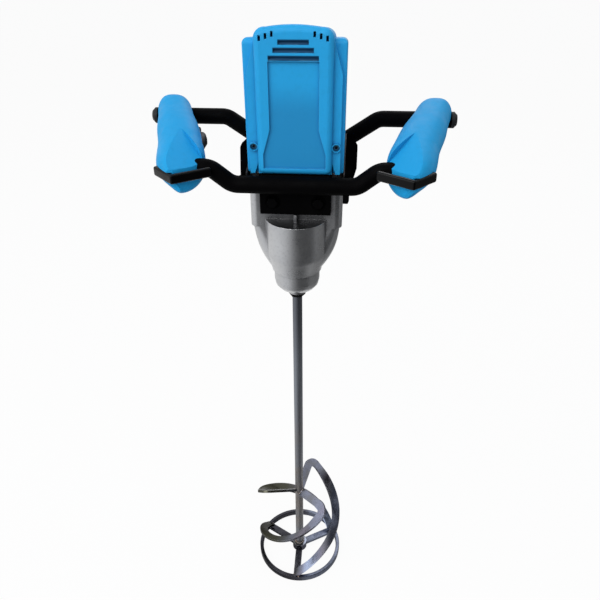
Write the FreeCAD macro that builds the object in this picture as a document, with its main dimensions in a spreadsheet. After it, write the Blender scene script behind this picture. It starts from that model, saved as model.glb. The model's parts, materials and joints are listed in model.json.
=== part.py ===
"""Two-handed mixing drill with a helical stirrer, as a parametric FreeCAD document.

Millimetres. +Z is up, the front of the machine faces -Y, and the origin lies on the
spindle axis at the underside of the stirrer.
"""
import FreeCAD, Part
import math
import os

import Sketcher
from FreeCAD import Placement, Rotation, Vector

LENGTHS = {
    # stirrer
    "ring_diameter": 140.0,
    "ring_bar_width": 6.0,
    "ring_bar_height": 10.0,
    "hub_diameter": 24.0,
    "hub_height": 14.0,
    "spoke_width": 11.0,
    "spoke_thickness": 5.0,
    "spoke_lift": 2.5,
    "spoke_end_gap": 0.4,
    "blade_width": 13.0,
    "blade_thickness": 4.0,
    "blade_edge_rise": 4.0,
    "blade_climb": 134.0,
    "blade_bend": 12.0,
    "stirrer_shaft_diameter": 13.0,
    "stirrer_reach": 538.0,
    "thread_diameter": 12.0,
    "thread_depth": 20.0,
    "nut_height": 6.0,
    "nut_flats": 19.0,
    # spindle and its bearings
    "spindle_nose_diameter": 26.0,
    "spindle_nose_height": 5.4,
    "spindle_diameter": 20.0,
    "spindle_tail_diameter": 15.0,
    "case_lip": 3.0,
    "lip_gap": 0.6,
    "seal_height": 6.0,
    "seal_diameter": 32.0,
    "lower_bearing_diameter": 42.0,
    "lower_bearing_height": 12.0,
    "upper_bearing_diameter": 35.0,
    "upper_bearing_height": 11.0,
    "race_groove": 0.6,
    # gear train
    "output_module": 1.5,
    "input_module": 0.75,
    "output_gear_width": 18.0,
    "input_gear_width": 11.0,
    "pinion_overhang": 1.5,
    "gear_side_gap": 2.0,
    "gear_tip_gap": 1.6,
    "backlash": 0.22,
    "counter_shaft_diameter": 12.0,
    "counter_journal_diameter": 8.0,
    "counter_bearing_diameter": 19.0,
    "counter_bearing_height": 6.0,
    "gear_lift": 4.0,
    "gear_spacing": 60.0,
    # gear case
    "case_half_width": 55.5,
    "case_front": 11.0,
    "case_back": 84.0,
    "case_corner": 9.0,
    "case_step": 2.5,
    "shelf_drop": 11.0,
    "gear_headroom": 17.0,
    "collar_diameter": 58.0,
    "collar_height": 30.0,
    "bell_neck_diameter": 63.0,
    "neck_height": 1.0,
    "barrel_diameter": 77.0,
    "barrel_cone_height": 25.0,
    "barrel_height": 45.0,
    "shelf_rib_width": 3.5,
    "shelf_rib_height": 9.0,
    "bearing_plate_height": 12.0,
    # motor
    "motor_axis": 33.0,
    "armature_diameter": 50.0,
    "armature_gap": 14.0,
    "armature_length": 48.0,
    "air_gap": 0.7,
    "stator_diameter": 84.0,
    "stator_inset": 2.0,
    "coil_height": 9.0,
    "coil_wall": 11.0,
    "shaft_diameter": 12.0,
    "shaft_tail_diameter": 9.0,
    "motor_bearing_diameter": 28.0,
    "motor_bearing_height": 8.0,
    "tail_bearing_diameter": 26.0,
    "tail_bearing_height": 8.0,
    "fan_gap": 5.0,
    "fan_height": 13.0,
    "fan_disc": 2.5,
    "fan_diameter": 78.0,
    "fan_blade_thickness": 2.0,
    "commutator_diameter": 28.0,
    "commutator_length": 20.0,
    "commutator_gap": 15.0,
    "bridge_gap": 3.0,
    "bridge_height": 12.0,
    "bridge_width": 34.0,
    "brush_width": 8.0,
    "brush_height": 11.0,
    "brush_length": 22.0,
    "brush_gap": 0.4,
    "brush_wall": 2.5,
    # motor housing and front cover
    "housing_setback": 3.0,
    "housing_overhang": 4.0,
    "bridge_headroom": 16.0,
    "roof_fall": 16.0,
    "housing_corner": 18.0,
    "housing_round": 6.0,
    "housing_wall": 3.0,
    "rim_depth": 6.0,
    "rim_width": 12.5,
    "sleeve_wall": 3.0,
    "boss_diameter": 13.0,
    "boss_height": 18.0,
    "boss_inset": 9.0,
    "front_boss_inset": 9.5,
    "rear_boss_inset": 14.0,
    "cover_inset": 4.0,
    "cover_slab": 6.0,
    "cover_depth": 14.0,
    "cover_gap": 2.0,
    "cover_margin": 9.5,
    "cover_block_round": 7.0,
    "cover_foot_round": 7.0,
    "cover_notch_width": 5.0,
    "cover_notch_height": 13.0,
    "cover_boss_height": 3.0,
    "cover_shoulder_drop": 35.0,
    "hood_rise": 15.0,
    "hood_shoulder": 12.0,
    "hood_reach": 27.0,
    "panel_depth": 2.5,
    "panel_drop": 21.0,
    "column_width": 15.0,
    "panel_flare": 8.0,
    "panel_flare_rise": 28.0,
    "panel_foot": 16.0,
    "panel_margin": 7.0,
    "slot_height": 3.0,
    "slot_pitch": 7.8,
    "slot_drop": 1.5,
    "slot_half_length": 15.8,
    "slot_growth": 5.2,
    "hood_vent_width": 2.6,
    "hood_vent_height": 5.5,
    "hood_vent_pitch": 6.5,
    "hood_vent_step": 2.0,
    "hood_vent_inset": 7.0,
    "cover_screw_rise": 32.0,
    "rear_vent_height": 3.5,
    "rear_vent_pitch": 9.0,
    "rear_vent_half_length": 26.0,
    "rear_vent_drop": 68.0,
    # screws
    "screw_diameter": 5.0,
    "screw_head_diameter": 9.0,
    "screw_head_height": 5.0,
    "case_thread_depth": 18.0,
    "cover_screw_diameter": 4.0,
    "cover_screw_head": 7.6,
    "cover_screw_sink": 3.0,
    "bolt_diameter": 8.0,
    "bolt_head_diameter": 13.0,
    "bolt_head_height": 5.0,
    "bolt_depth": 8.0,
    "bolt_span": 27.0,
    "bolt_drop": 22.0,
    "gland_diameter": 17.0,
    "gland_flange_diameter": 23.0,
    "gland_flange": 3.0,
    "gland_bore": 9.0,
    "gland_depth": 12.0,
    "gland_rise": 22.0,
    # handle frame
    "tube_diameter": 20.0,
    "tube_wall": 2.0,
    "tube_bend": 20.0,
    "weld_gap": 0.1,
    "plate_thickness": 6.0,
    "plate_inset": 13.5,
    "plate_gap": 9.0,
    "front_tube_gap": 1.0,
    "front_tube_rise": 19.5,
    "front_tube_tail": 19.0,
    "front_tube_run": 24.5,
    "front_tube_setback": 13.0,
    "rear_tube_drop": 4.0,
    "rear_tube_rise": 35.0,
    "rear_tube_half_span": 45.0,
    "rear_tube_run": 52.0,
    "rear_tube_stub": 19.0,
    "cap_length": 7.0,
    "cap_plug": 12.0,
    "side_plate_gap": 1.5,
    "side_plate_bow": 8.0,
    "side_plate_front_height": 20.0,
    "side_plate_lift": 2.0,
    "side_plate_back_height": 22.0,
    "side_plate_hump": 4.0,
    # grips
    "grip_nose": 34.9,
    "grip_tail": 17.9,
    "grip_offset": 168.0,
    "grip_toe": 40.0,
    "grip_rise": 4.0,
    "grip_sink": 3.5,
    "grip_width": 59.0,
    "grip_depth": 50.0,
    "grip_lean": 9.0,
    "yoke_thickness": 6.0,
    "yoke_height": 11.0,
    "yoke_inner_run": 34.0,
    "yoke_vertex_shift": 2.0,
    "yoke_bite": 1.4,
    "yoke_outer_run": 25.5,
    "yoke_wing": 23.5,
    "grip_screw_diameter": 4.0,
    "grip_screw_head": 7.5,
    "grip_screw_sink": 5.0,
    "grip_screw_length": 26.0,
    # switchgear in the grip
    "trigger_length": 40.0,
    "trigger_height": 18.0,
    "trigger_depth": 11.0,
    "trigger_stand": 15.6,
    "trigger_travel": 6.0,
    "trigger_gap": 4.0,
    "trigger_rise": 8.5,
    "trigger_round": 6.5,
    "switch_length": 46.0,
    "switch_height": 24.0,
    "switch_depth": 9.0,
    "switch_gap": 1.5,
    "button_diameter": 10.0,
    "button_length": 14.0,
    "button_stand": 4.6,
    "button_travel": 2.5,
    "button_gap": 2.5,
    "button_rise": 14.5,
    "dial_diameter": 23.0,
    "dial_thickness": 6.0,
    "dial_gap": 2.6,
    "dial_shift": 15.5,
    "dial_rise": 18.5,
    "dial_pin_diameter": 4.0,
    "dial_notch": 1.2,
    # fits
    "press_fit": 0.02,
    "running_fit": 0.05,
    "slide_fit": 0.4,
    "seat_fit": 0.2,
    "overrun": 2.0,
}
COUNTS = {
    "pinion_teeth": 12,
    "output_teeth": 34,
    "input_teeth": 57,
    "spoke_count": 3,
    "fan_blade_count": 14,
    "slot_count": 3,
    "hood_vent_count": 3,
    "rear_vent_count": 5,
    "dial_notch_count": 24,
}
ANGLES = {
    "pressure_angle": 25.0,
    "first_spoke_angle": 270.0,
    "blade_turn": 156.0,
    "mitre_gap": 2.0,
}
# Each section of a grip from its back end to its prow: place along the grip, side shift,
# fall, width and height, as shares of the grip's length, toe, fall, width and depth.
GRIP_SHARES = (
    (0.000, 0.00, 0.00, 0.41, 0.56),
    (0.045, 0.03, 0.02, 0.67, 0.84),
    (0.183, 0.20, 0.14, 0.77, 0.93),
    (0.406, 0.51, 0.39, 0.90, 1.00),
    (0.600, 0.77, 0.62, 0.92, 1.00),
    (0.794, 0.93, 0.86, 0.92, 0.94),
    (0.906, 0.89, 0.97, 0.60, 0.82),
    (0.989, 0.86, 1.00, 0.14, 0.52),
)
GRIP_CORNER_SHARE = 0.78
GRIP_KEEL_SHARE = 0.3
GRIP_SCREW_SHARES = (0.31, 0.72)
# Each section of the gear case's bell from its block down to its neck: fall from the block,
# width, front and back, as shares of the drop, half width, front reach and back reach.
BELL_SHARES = (
    (0.00, 1.00, 0.00, 1.00, 0.20),
    (0.34, 0.95, 0.22, 0.88, 0.42),
    (0.65, 0.84, 0.48, 0.68, 0.66),
    (0.88, 0.68, 0.66, 0.47, 0.86),
    (1.00, 0.55, 0.74, 0.30, 0.94),
)
ROOT_SHARE = 1.25
RACE_SHARE = 0.27
FAN_HUB_SHARE = 0.2
ARM_END_SHARE = 0.8
CLIMB_SWAY_SHARE = 0.25
# Stations of a blade along its helix, its bend and its arm, and those in which it starts to lean.
BLADE_STEPS = (10, 5, 1)
FLAT_STEPS = 2
TOLERANCE = 1e-6
# Corners of a grip's front facet on its sections: section, side and height as shares of them.
FACET_SHARES = ((4, -0.06, 0.50), (5, -0.50, 0.16), (7, 0.00, 0.50))
FACET_SPREAD_SHARE = 0.35
HOOD_CROWN_SHARE = 0.2
HOOD_ROUND_SHARE = 0.31
HOOD_TURN_SHARE = 0.3
BUTTON_ROUND_SHARE = 0.125
# Where the bow of a side plate begins and ends, from its front to its back.
BOW_SHARES = (0.48, 0.62)
NOSE_SHARES = ((0.52, 0.00), (0.80, 0.10), (0.95, 0.28), (1.00, 0.52))


class Size:
    """A number together with the sheet expression that gives it."""

    def __init__(self, value, text):
        self.value = float(value)
        self.text = text

    def __float__(self):
        return self.value

    def __add__(self, other):
        other = as_size(other)
        return Size(self.value + other.value, f"({self.text} + {other.text})")

    def __sub__(self, other):
        other = as_size(other)
        return Size(self.value - other.value, f"({self.text} - {other.text})")

    def __mul__(self, other):
        other = as_size(other)
        return Size(self.value * other.value, f"({self.text} * {other.text})")

    def __truediv__(self, other):
        other = as_size(other)
        return Size(self.value / other.value, f"({self.text} / {other.text})")

    def __rmul__(self, other):
        return as_size(other) * self

    def __neg__(self):
        return Size(-self.value, f"(0 - {self.text})")


def as_size(number):
    """A plain number as a Size, or the Size itself."""
    if isinstance(number, Size):
        return number
    return Size(number, repr(float(number)))


class Sizes:
    """The driving dimensions, by name."""


def fill_sheet(sheet, *tables):
    """Write every driving dimension into the sheet under its alias."""
    sizes = Sizes()
    row = 0
    for table in tables:
        for alias, value in table.items():
            row += 1
            sheet.set(f"A{row}", alias)
            sheet.set(f"B{row}", str(value))
            sheet.setAlias(f"B{row}", alias)
            setattr(sizes, alias, Size(value, f"dims.{alias}"))
    return sizes


doc = FreeCAD.newDocument("mixing_drill")
dims = doc.addObject("Spreadsheet::Sheet", "dims")
S = fill_sheet(dims, LENGTHS, COUNTS, ANGLES)
doc.recompute()
ZERO = as_size(0)
SIDES = (("left", -1), ("right", 1))
pieces = []

# Levels that several pieces share, from the spindle up.
spindle_end = S.stirrer_reach
spindle_shoulder = spindle_end + S.spindle_nose_height
nose_floor = spindle_shoulder + S.lip_gap
seal_floor = nose_floor + S.case_lip
lower_bearing_floor = seal_floor + S.seal_height
lower_bearing_top = lower_bearing_floor + S.lower_bearing_height
collar_top = nose_floor + S.collar_height
bell_neck_top = collar_top + S.neck_height
barrel_floor = bell_neck_top + S.barrel_cone_height
shelf_height = barrel_floor + S.barrel_height
case_block_floor = shelf_height - S.shelf_drop
gear_floor = barrel_floor + S.gear_lift
gear_roof = gear_floor + S.output_gear_width
upper_bearing_floor = gear_roof + S.gear_side_gap
spindle_top = upper_bearing_floor + S.upper_bearing_height
counter_lower_floor = gear_floor - S.gear_side_gap - S.counter_bearing_height
input_gear_floor = gear_floor + S.gear_spacing
input_gear_roof = input_gear_floor + S.input_gear_width
case_top = input_gear_roof + S.gear_headroom
case_roof = case_top + S.bearing_plate_height
motor_bearing_floor = case_top + S.gear_side_gap / 2
fan_floor = case_roof + S.fan_gap
armature_floor = fan_floor + S.fan_height + S.armature_gap
armature_roof = armature_floor + S.armature_length
commutator_floor = armature_roof + S.commutator_gap
bridge_floor = commutator_floor + S.commutator_length + S.bridge_gap
tail_bearing_floor = bridge_floor + S.gear_side_gap
housing_top = bridge_floor + S.bridge_height + S.bridge_headroom
rear_vent_floor = housing_top - S.rear_vent_drop
gland_height = case_roof + S.gland_rise
bolt_height = case_top - S.bolt_drop
plate_floor = shelf_height + S.plate_gap

# The housing and its cover, across, in depth and in height.
housing_half_width = S.case_half_width
housing_front = S.case_front - S.housing_setback
housing_back = S.case_back + S.housing_overhang
cover_half_width = housing_half_width - S.cover_inset
cover_block_half_width = cover_half_width - S.cover_margin
panel_half_width = cover_block_half_width - S.column_width
cover_front = housing_front + S.cover_depth
hood_back = S.motor_axis + S.hood_reach
cover_floor = case_roof + S.cover_gap
cover_shoulder = housing_top - S.cover_shoulder_drop
cover_screw_height = case_roof + S.cover_screw_rise
hood_top = housing_top + S.hood_rise
panel_floor = cover_floor + S.panel_margin
panel_flare_floor = panel_floor + S.panel_foot
panel_flare_top = panel_flare_floor + S.panel_flare_rise
panel_top = housing_top - S.panel_drop
slot_top = housing_top - S.slot_drop

# The handle frame and the grips on it.
tube_radius = S.tube_diameter / 2
plate_half_width = S.case_half_width - S.plate_inset
front_plate_face = S.case_front + S.plate_thickness
rear_plate_face = S.case_back + S.plate_thickness
front_tube_depth = front_plate_face + S.weld_gap + tube_radius
rear_tube_depth = rear_plate_face + S.weld_gap + tube_radius
front_tube_height = cover_floor - S.front_tube_gap - tube_radius
rear_tube_height = case_roof - S.rear_tube_drop
front_tube_top = front_tube_height + S.front_tube_rise
rear_tube_top = rear_tube_height + S.rear_tube_rise
side_plate_back_floor = rear_tube_height + S.side_plate_lift
grip_front_offset = S.grip_offset - S.grip_toe
front_tube_end = grip_front_offset - S.front_tube_setback
front_tube_half_span = front_tube_end - S.front_tube_tail - S.front_tube_run
rear_tube_end = S.grip_offset + S.rear_tube_stub
grip_back = rear_tube_depth + S.grip_tail
grip_front = front_tube_depth + S.grip_nose
grip_length = grip_back + grip_front
grip_back_level = rear_tube_top + S.grip_rise
grip_fall = grip_back_level - front_tube_top + S.grip_sink
yoke_start = grip_front_offset - S.yoke_inner_run
yoke_vertex = grip_front_offset + S.yoke_vertex_shift
yoke_end = grip_front_offset + S.yoke_outer_run
yoke_vertex_reach = grip_front - S.yoke_bite
yoke_end_reach = yoke_vertex_reach - S.yoke_wing
dial_offset = grip_front_offset + S.dial_shift
dial_middle = rear_tube_depth - tube_radius - S.dial_gap - S.dial_diameter / 2
dial_level = front_tube_top + S.dial_rise
button_face = grip_front_offset - S.button_stand
button_middle = dial_middle - (S.dial_diameter + S.button_diameter) / 2 - S.button_gap
button_level = front_tube_top + S.button_rise
trigger_face = grip_front_offset - S.trigger_stand
trigger_middle = button_middle - (S.button_diameter + S.switch_length) / 2 - S.trigger_gap
trigger_level = front_tube_top + S.trigger_rise

# The gear train's centre distances.
output_centres = float(S.output_module) * float(S.pinion_teeth + S.output_teeth) / 2
input_centres = float(S.input_module) * float(S.pinion_teeth + S.input_teeth) / 2


def counter_axis():
    """The countershaft's place, where its two centre distances meet."""
    motor = float(S.motor_axis)
    depth = (output_centres ** 2 + motor ** 2 - input_centres ** 2) / (2 * motor)
    return Vector(math.sqrt(output_centres ** 2 - depth ** 2), depth, 0)


COUNTER = counter_axis()
MOTOR = Vector(0, float(S.motor_axis), 0)
SPINDLE = Vector(0, 0, 0)


def keep(piece):
    """Count a document object as one sub-part of the machine."""
    pieces.append(piece)
    return piece


def bind(piece, **properties):
    """Bind properties of an object to sheet expressions."""
    for name, size in properties.items():
        piece.setExpression(name, as_size(size).text)


def place(piece, x=ZERO, y=ZERO, z=ZERO, turn=None):
    """Turn an object and bind its position to the sheet."""
    piece.Placement = Placement(Vector(float(x), float(y), float(z)), turn or Rotation())
    for axis, size in (("x", x), ("y", y), ("z", z)):
        piece.setExpression(f"Placement.Base.{axis}", as_size(size).text)
    return piece


ALONG_X = Rotation(Vector(0, 1, 0), 90)
ALONG_Y = Rotation(Vector(1, 0, 0), -90)
AGAINST_X = Rotation(Vector(0, 1, 0), -90)
AGAINST_Y = Rotation(Vector(1, 0, 0), 90)


def origin_part(body, role):
    """One of a body's own origin planes or axes."""
    return next(part for part in body.Origin.OriginFeatures if part.Role == role)


def pin(sketch, corner, kind, size):
    """Fix one coordinate of a sketch corner to its sheet expression."""
    size = as_size(size)
    if size.value == 0:
        axis = -2 if kind == "DistanceX" else -1
        sketch.addConstraint(Sketcher.Constraint("PointOnObject", corner, 1, axis))
        return
    ends = (-1, 1, corner, 1)
    if size.value < 0:
        ends = (corner, 1, -1, 1)
        size = -size
    index = sketch.addConstraint(Sketcher.Constraint(kind, *ends, size.value))
    sketch.setExpression(f"Constraints[{index}]", size.text)


def draw_outline(sketch, points):
    """A closed outline of straight edges whose corners follow the sheet."""
    first = sketch.GeometryCount
    count = len(points)
    for index, point in enumerate(points):
        following = points[(index + 1) % count]
        start = Vector(float(point[0]), float(point[1]), 0)
        end = Vector(float(following[0]), float(following[1]), 0)
        sketch.addGeometry(Part.LineSegment(start, end), False)
    for index in range(count):
        joint = (first + index, 2, first + (index + 1) % count, 1)
        sketch.addConstraint(Sketcher.Constraint("Coincident", *joint))
    for index, point in enumerate(points):
        pin(sketch, first + index, "DistanceX", point[0])
        pin(sketch, first + index, "DistanceY", point[1])


def draw_circle(sketch, radius):
    """A circle on the sketch's origin whose radius follows the sheet."""
    circle = Part.Circle(Vector(0, 0, 0), Vector(0, 0, 1), float(radius))
    index = sketch.addGeometry(circle, False)
    sketch.addConstraint(Sketcher.Constraint("Coincident", index, 3, -1, 1))
    bound = sketch.addConstraint(Sketcher.Constraint("Radius", index, float(radius)))
    sketch.setExpression(f"Constraints[{bound}]", radius.text)


def new_sketch(body, name, role):
    """A sketch on one of the body's origin planes."""
    sketch = body.newObject("Sketcher::SketchObject", name)
    sketch.AttachmentSupport = [(origin_part(body, role), "")]
    sketch.MapMode = "FlatFace"
    return sketch


def turned(label, profile):
    """A turned piece: a closed half profile of (radius, height) revolved about its own axis."""
    body = doc.addObject("PartDesign::Body", label)
    sketch = new_sketch(body, label + "_profile", "XZ_Plane")
    draw_outline(sketch, profile)
    revolution = body.newObject("PartDesign::Revolution", label + "_turn")
    revolution.Profile = sketch
    revolution.ReferenceAxis = (sketch, ["V_Axis"])
    return body


def plate(label, outline, thickness, role):
    """A flat piece: an outline on one of the body's planes, padded evenly about it."""
    body = doc.addObject("PartDesign::Body", label)
    sketch = new_sketch(body, label + "_outline", role)
    draw_outline(sketch, outline)
    pad = body.newObject("PartDesign::Pad", label + "_pad")
    pad.Profile = sketch
    pad.SideType = "Symmetric"
    pad.setExpression("Length", thickness.text)
    return body


def rectangle(low_x, high_x, low_y, high_y):
    """The corners of a rectangle."""
    return [(low_x, low_y), (high_x, low_y), (high_x, high_y), (low_x, high_y)]


def cylinder(name, radius, height, x=ZERO, y=ZERO, z=ZERO, turn=None):
    """A round bar that starts at a place and runs along its turned axis."""
    bar = doc.addObject("Part::Cylinder", name)
    bind(bar, Radius=radius, Height=height)
    return place(bar, x, y, z, turn)


def block(name, length, width, height, x, y, z):
    """A rectangular block from its lowest corner."""
    box = doc.addObject("Part::Box", name)
    bind(box, Length=length, Width=width, Height=height)
    return place(box, x, y, z)


def fuse(label, *shapes):
    """Several solids joined into one."""
    joined = doc.addObject("Part::MultiFuse", label)
    joined.Shapes = list(shapes)
    return joined


def cut(label, base, *tools):
    """A solid less one or more others."""
    tool = tools[0] if len(tools) == 1 else fuse(label + "_tools", *tools)
    result = doc.addObject("Part::Cut", label)
    result.Base = base
    result.Tool = tool
    return result


def group(label, members):
    """Alike pieces that share one node as separate solids."""
    compound = doc.addObject("Part::Compound", label)
    compound.Links = list(members)
    return keep(compound)


def shaped(label, shape):
    """A cast, moulded or toothed piece whose shape is made by Part's own functions."""
    feature = doc.addObject("Part::Feature", label)
    feature.Shape = shape
    return keep(feature)


def bar_at(radius, low, high, axis):
    """An upright cylinder between two heights about a vertical axis."""
    base = Vector(axis.x, axis.y, float(low))
    return Part.makeCylinder(float(radius), float(high) - float(low), base)


def box_between(low, high):
    """A box from its lowest to its highest corner."""
    low = Vector(*(float(value) for value in low))
    high = Vector(*(float(value) for value in high))
    size = high - low
    return Part.makeBox(size.x, size.y, size.z, low)


def solid_of(shape):
    """The one solid in a shape."""
    solids = shape.Solids
    if len(solids) != 1:
        raise ValueError(f"expected one solid, found {len(solids)}")
    return solids[0]


def rounded_outline(half_width, front, back, round_front, round_back, height):
    """A level outline, symmetric about the middle plane, with rounded corners."""
    half_width, front, back, height = (float(v) for v in (half_width, front, back, height))
    corners = (
        (-half_width, front, float(round_front)),
        (half_width, front, float(round_front)),
        (half_width, back, float(round_back)),
        (-half_width, back, float(round_back)),
    )
    points = [Vector(x, y, height) for x, y, _ in corners]
    return rounded_wire(points, [radius for _, _, radius in corners])


def rounded_wire(points, radii):
    """A closed wire through points, each corner rounded by its own radius."""
    edges = []
    starts = []
    count = len(points)
    for index, point in enumerate(points):
        before = (points[index - 1] - point).normalize()
        after = (points[(index + 1) % count] - point).normalize()
        radius = radii[index]
        half = before.getAngle(after) / 2
        reach = radius / math.tan(half)
        middle = (before + after).normalize()
        centre = point + middle * (radius / math.sin(half))
        starts.append((point + before * reach, centre - middle * radius, point + after * reach))
    for index, (enter, middle, leave) in enumerate(starts):
        edges.append(Part.Arc(enter, middle, leave).toShape())
        edges.append(Part.LineSegment(leave, starts[(index + 1) % count][0]).toShape())
    return Part.Wire(edges)


def prism(wire, direction):
    """A solid drawn from a closed flat wire."""
    return Part.Face(wire).extrude(direction)


def bent_bar(points, radius):
    """A round bar along straight runs joined by arcs of the frame's bend radius."""
    edges = []
    here = points[0]
    for before, corner, after in zip(points, points[1:], points[2:]):
        back = (before - corner).normalize()
        ahead = (after - corner).normalize()
        half = back.getAngle(ahead) / 2
        reach = float(S.tube_bend) / math.tan(half)
        middle = (back + ahead).normalize()
        centre = corner + middle * (float(S.tube_bend) / math.sin(half))
        enter = corner + back * reach
        edges.append(Part.LineSegment(here, enter).toShape())
        here = corner + ahead * reach
        edges.append(Part.Arc(enter, centre - middle * float(S.tube_bend), here).toShape())
    edges.append(Part.LineSegment(here, points[-1]).toShape())
    circle = Part.Wire(Part.makeCircle(float(radius), points[0], points[1] - points[0]))
    return Part.Wire(edges).makePipeShell([circle], True, False)


def bent_tube(points):
    """A round tube of the handle frame."""
    return bent_bar(points, tube_radius).cut(bent_bar(points, tube_radius - S.tube_wall))


def front_tube_points(end):
    """The corners of the front tube's run, from its left end to its right end."""
    half = front_tube_half_span
    right = [(half, front_tube_height), (half + S.front_tube_run, front_tube_top),
             (end, front_tube_top)]
    places = [(-x, z) for x, z in reversed(right)] + right
    return [Vector(float(x), -float(front_tube_depth), float(z)) for x, z in places]


def make_stirrer_ring():
    """The flat-bar ring at the foot of the stirrer."""
    outer = S.ring_diameter / 2
    inner = outer - S.ring_bar_width
    keep(turned("stirrer_ring", rectangle(inner, outer, ZERO, S.ring_bar_height)))


def make_stirrer_spider():
    """The hub and the flat spokes that carry the ring."""
    body = doc.addObject("PartDesign::Body", "stirrer_spider")
    hub_sketch = new_sketch(body, "hub_outline", "XY_Plane")
    draw_circle(hub_sketch, S.hub_diameter / 2)
    draw_circle(hub_sketch, S.stirrer_shaft_diameter / 2 + S.press_fit)
    hub = body.newObject("PartDesign::Pad", "hub")
    hub.Profile = hub_sketch
    hub.setExpression("Length", S.hub_height.text)
    spoke_sketch = new_sketch(body, "spoke_outline", "XY_Plane")
    spoke_sketch.setExpression("AttachmentOffset.Base.z", S.spoke_lift.text)
    inner = (S.hub_diameter / 2 + S.stirrer_shaft_diameter / 2) / 2
    outer = S.ring_diameter / 2 - S.ring_bar_width - S.spoke_end_gap
    draw_outline(spoke_sketch, rectangle(inner, outer, -S.spoke_width / 2, S.spoke_width / 2))
    spoke = body.newObject("PartDesign::Pad", "spoke")
    spoke.Profile = spoke_sketch
    spoke.setExpression("Length", S.spoke_thickness.text)
    doc.recompute()
    spokes = body.newObject("PartDesign::PolarPattern", "spokes")
    spokes.Originals = [spoke]
    spokes.Axis = (origin_part(body, "Z_Axis"), [""])
    spokes.setExpression("Occurrences", S.spoke_count.text)
    body.Tip = spokes
    place(body, turn=Rotation(Vector(0, 0, 1), float(S.first_spoke_angle)))
    keep(body)


def blade_outer():
    """The radius of a blade's outer edge."""
    return float(S.ring_diameter) / 2 - float(S.ring_bar_width) / 4


def blade_stations():
    """Stations along a blade that starts at angle zero: middle, half width and half thickness."""
    half_width = float(S.blade_width) / 2
    half_thick = float(S.blade_thickness) / 2
    middle = blade_outer() - half_width
    sweep = math.radians(float(S.blade_turn))
    climb = float(S.blade_climb)
    low = float(S.ring_bar_height + S.weld_gap) + half_thick
    up = Vector(0, 0, 1)
    helix_steps, bend_steps, arm_steps = BLADE_STEPS
    stations = []
    for step in range(helix_steps + 1):
        share = step / helix_steps
        turn = 2 * math.pi * share
        angle = sweep * share
        outward = Vector(math.cos(angle), math.sin(angle), 0)
        along = Vector(-math.sin(angle), math.cos(angle), 0)
        pitch = math.atan(climb / (middle * sweep) * (1 + CLIMB_SWAY_SHARE * math.cos(turn)))
        rise = low + climb * (share + CLIMB_SWAY_SHARE * math.sin(turn) / (2 * math.pi))
        normal = up * math.cos(pitch) - along * math.sin(pitch)
        tilt = min(1, step / FLAT_STEPS, (helix_steps - step) / FLAT_STEPS)
        lean = up * (float(S.blade_edge_rise) / 2 * tilt)
        stations.append((outward * middle + up * rise, outward * half_width + lean,
                         normal * half_thick))
    ahead = along * math.cos(pitch) + up * math.sin(pitch)
    bend = float(S.blade_bend)
    pivot = outward * (middle - bend) + up * rise
    corner = math.pi / 2 + arm_lean()
    for step in range(1, bend_steps + 1):
        angle = corner * step / bend_steps
        across = outward * math.cos(angle) + ahead * math.sin(angle)
        stations.append((pivot + across * bend, across * half_width, normal * half_thick))
    start = stations[-1][0]
    hub = up * rise
    reach = 1 - float(S.stirrer_shaft_diameter) / 2 * ARM_END_SHARE / (start - hub).Length
    for step in range(1, arm_steps + 1):
        spot = start + (hub - start) * (reach * step / arm_steps)
        stations.append((spot, across * half_width, normal * half_thick))
    return stations


def arm_lean():
    """How far a blade's bend goes past square, so that its arm runs to the shaft's axis."""
    bend = float(S.blade_bend)
    return math.asin(bend / (blade_outer() - float(S.blade_width) / 2 - bend))


def blade_section(spot, across, through):
    """One section of a blade from its middle, half width and half thickness."""
    points = [spot - across - through, spot + across - through,
              spot + across + through, spot - across + through]
    return Part.makePolygon(points + points[:1])


def hub_mitre(arm):
    """The space round the shaft that a blade leaves to the ends of the other arms."""
    count = float(S.spoke_count)
    share = 360 / count
    width = float(S.blade_width)
    radius = width / math.sin(math.pi / count) / 2 + float(S.overrun)
    room = Part.makeCylinder(radius, width * 2, Vector(0, 0, arm.z - width), Vector(0, 0, 1),
                             360 - share + float(S.mitre_gap))
    room.rotate(SPINDLE, Vector(0, 0, 1),
                math.degrees(math.atan2(arm.y, arm.x)) + (share - float(S.mitre_gap)) / 2)
    return room


def make_blades():
    """Three flat bars that climb in a helix from the ring and bend in to the shaft."""
    count = int(float(S.spoke_count))
    shaft = bar_at(S.stirrer_shaft_diameter / 2 + S.press_fit, ZERO, spindle_end, SPINDLE)
    stations = blade_stations()
    wires = [blade_section(*station) for station in stations]
    helix_end, bend_steps, _ = BLADE_STEPS
    arm_start = helix_end + bend_steps
    blade = Part.makeLoft(wires[:helix_end + 1], True, False)
    for run in (wires[helix_end:arm_start + 1], wires[arm_start:]):
        blade = blade.fuse(Part.makeLoft(run, True, False))
    blade = blade.cut(shaft).cut(hub_mitre(stations[-1][0]))
    for index in range(count):
        bar = blade.copy()
        bar.rotate(SPINDLE, Vector(0, 0, 1), float(S.first_spoke_angle) + index * 360 / count)
        shaped(f"stirrer_blade_{index + 1}", solid_of(bar))


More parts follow.
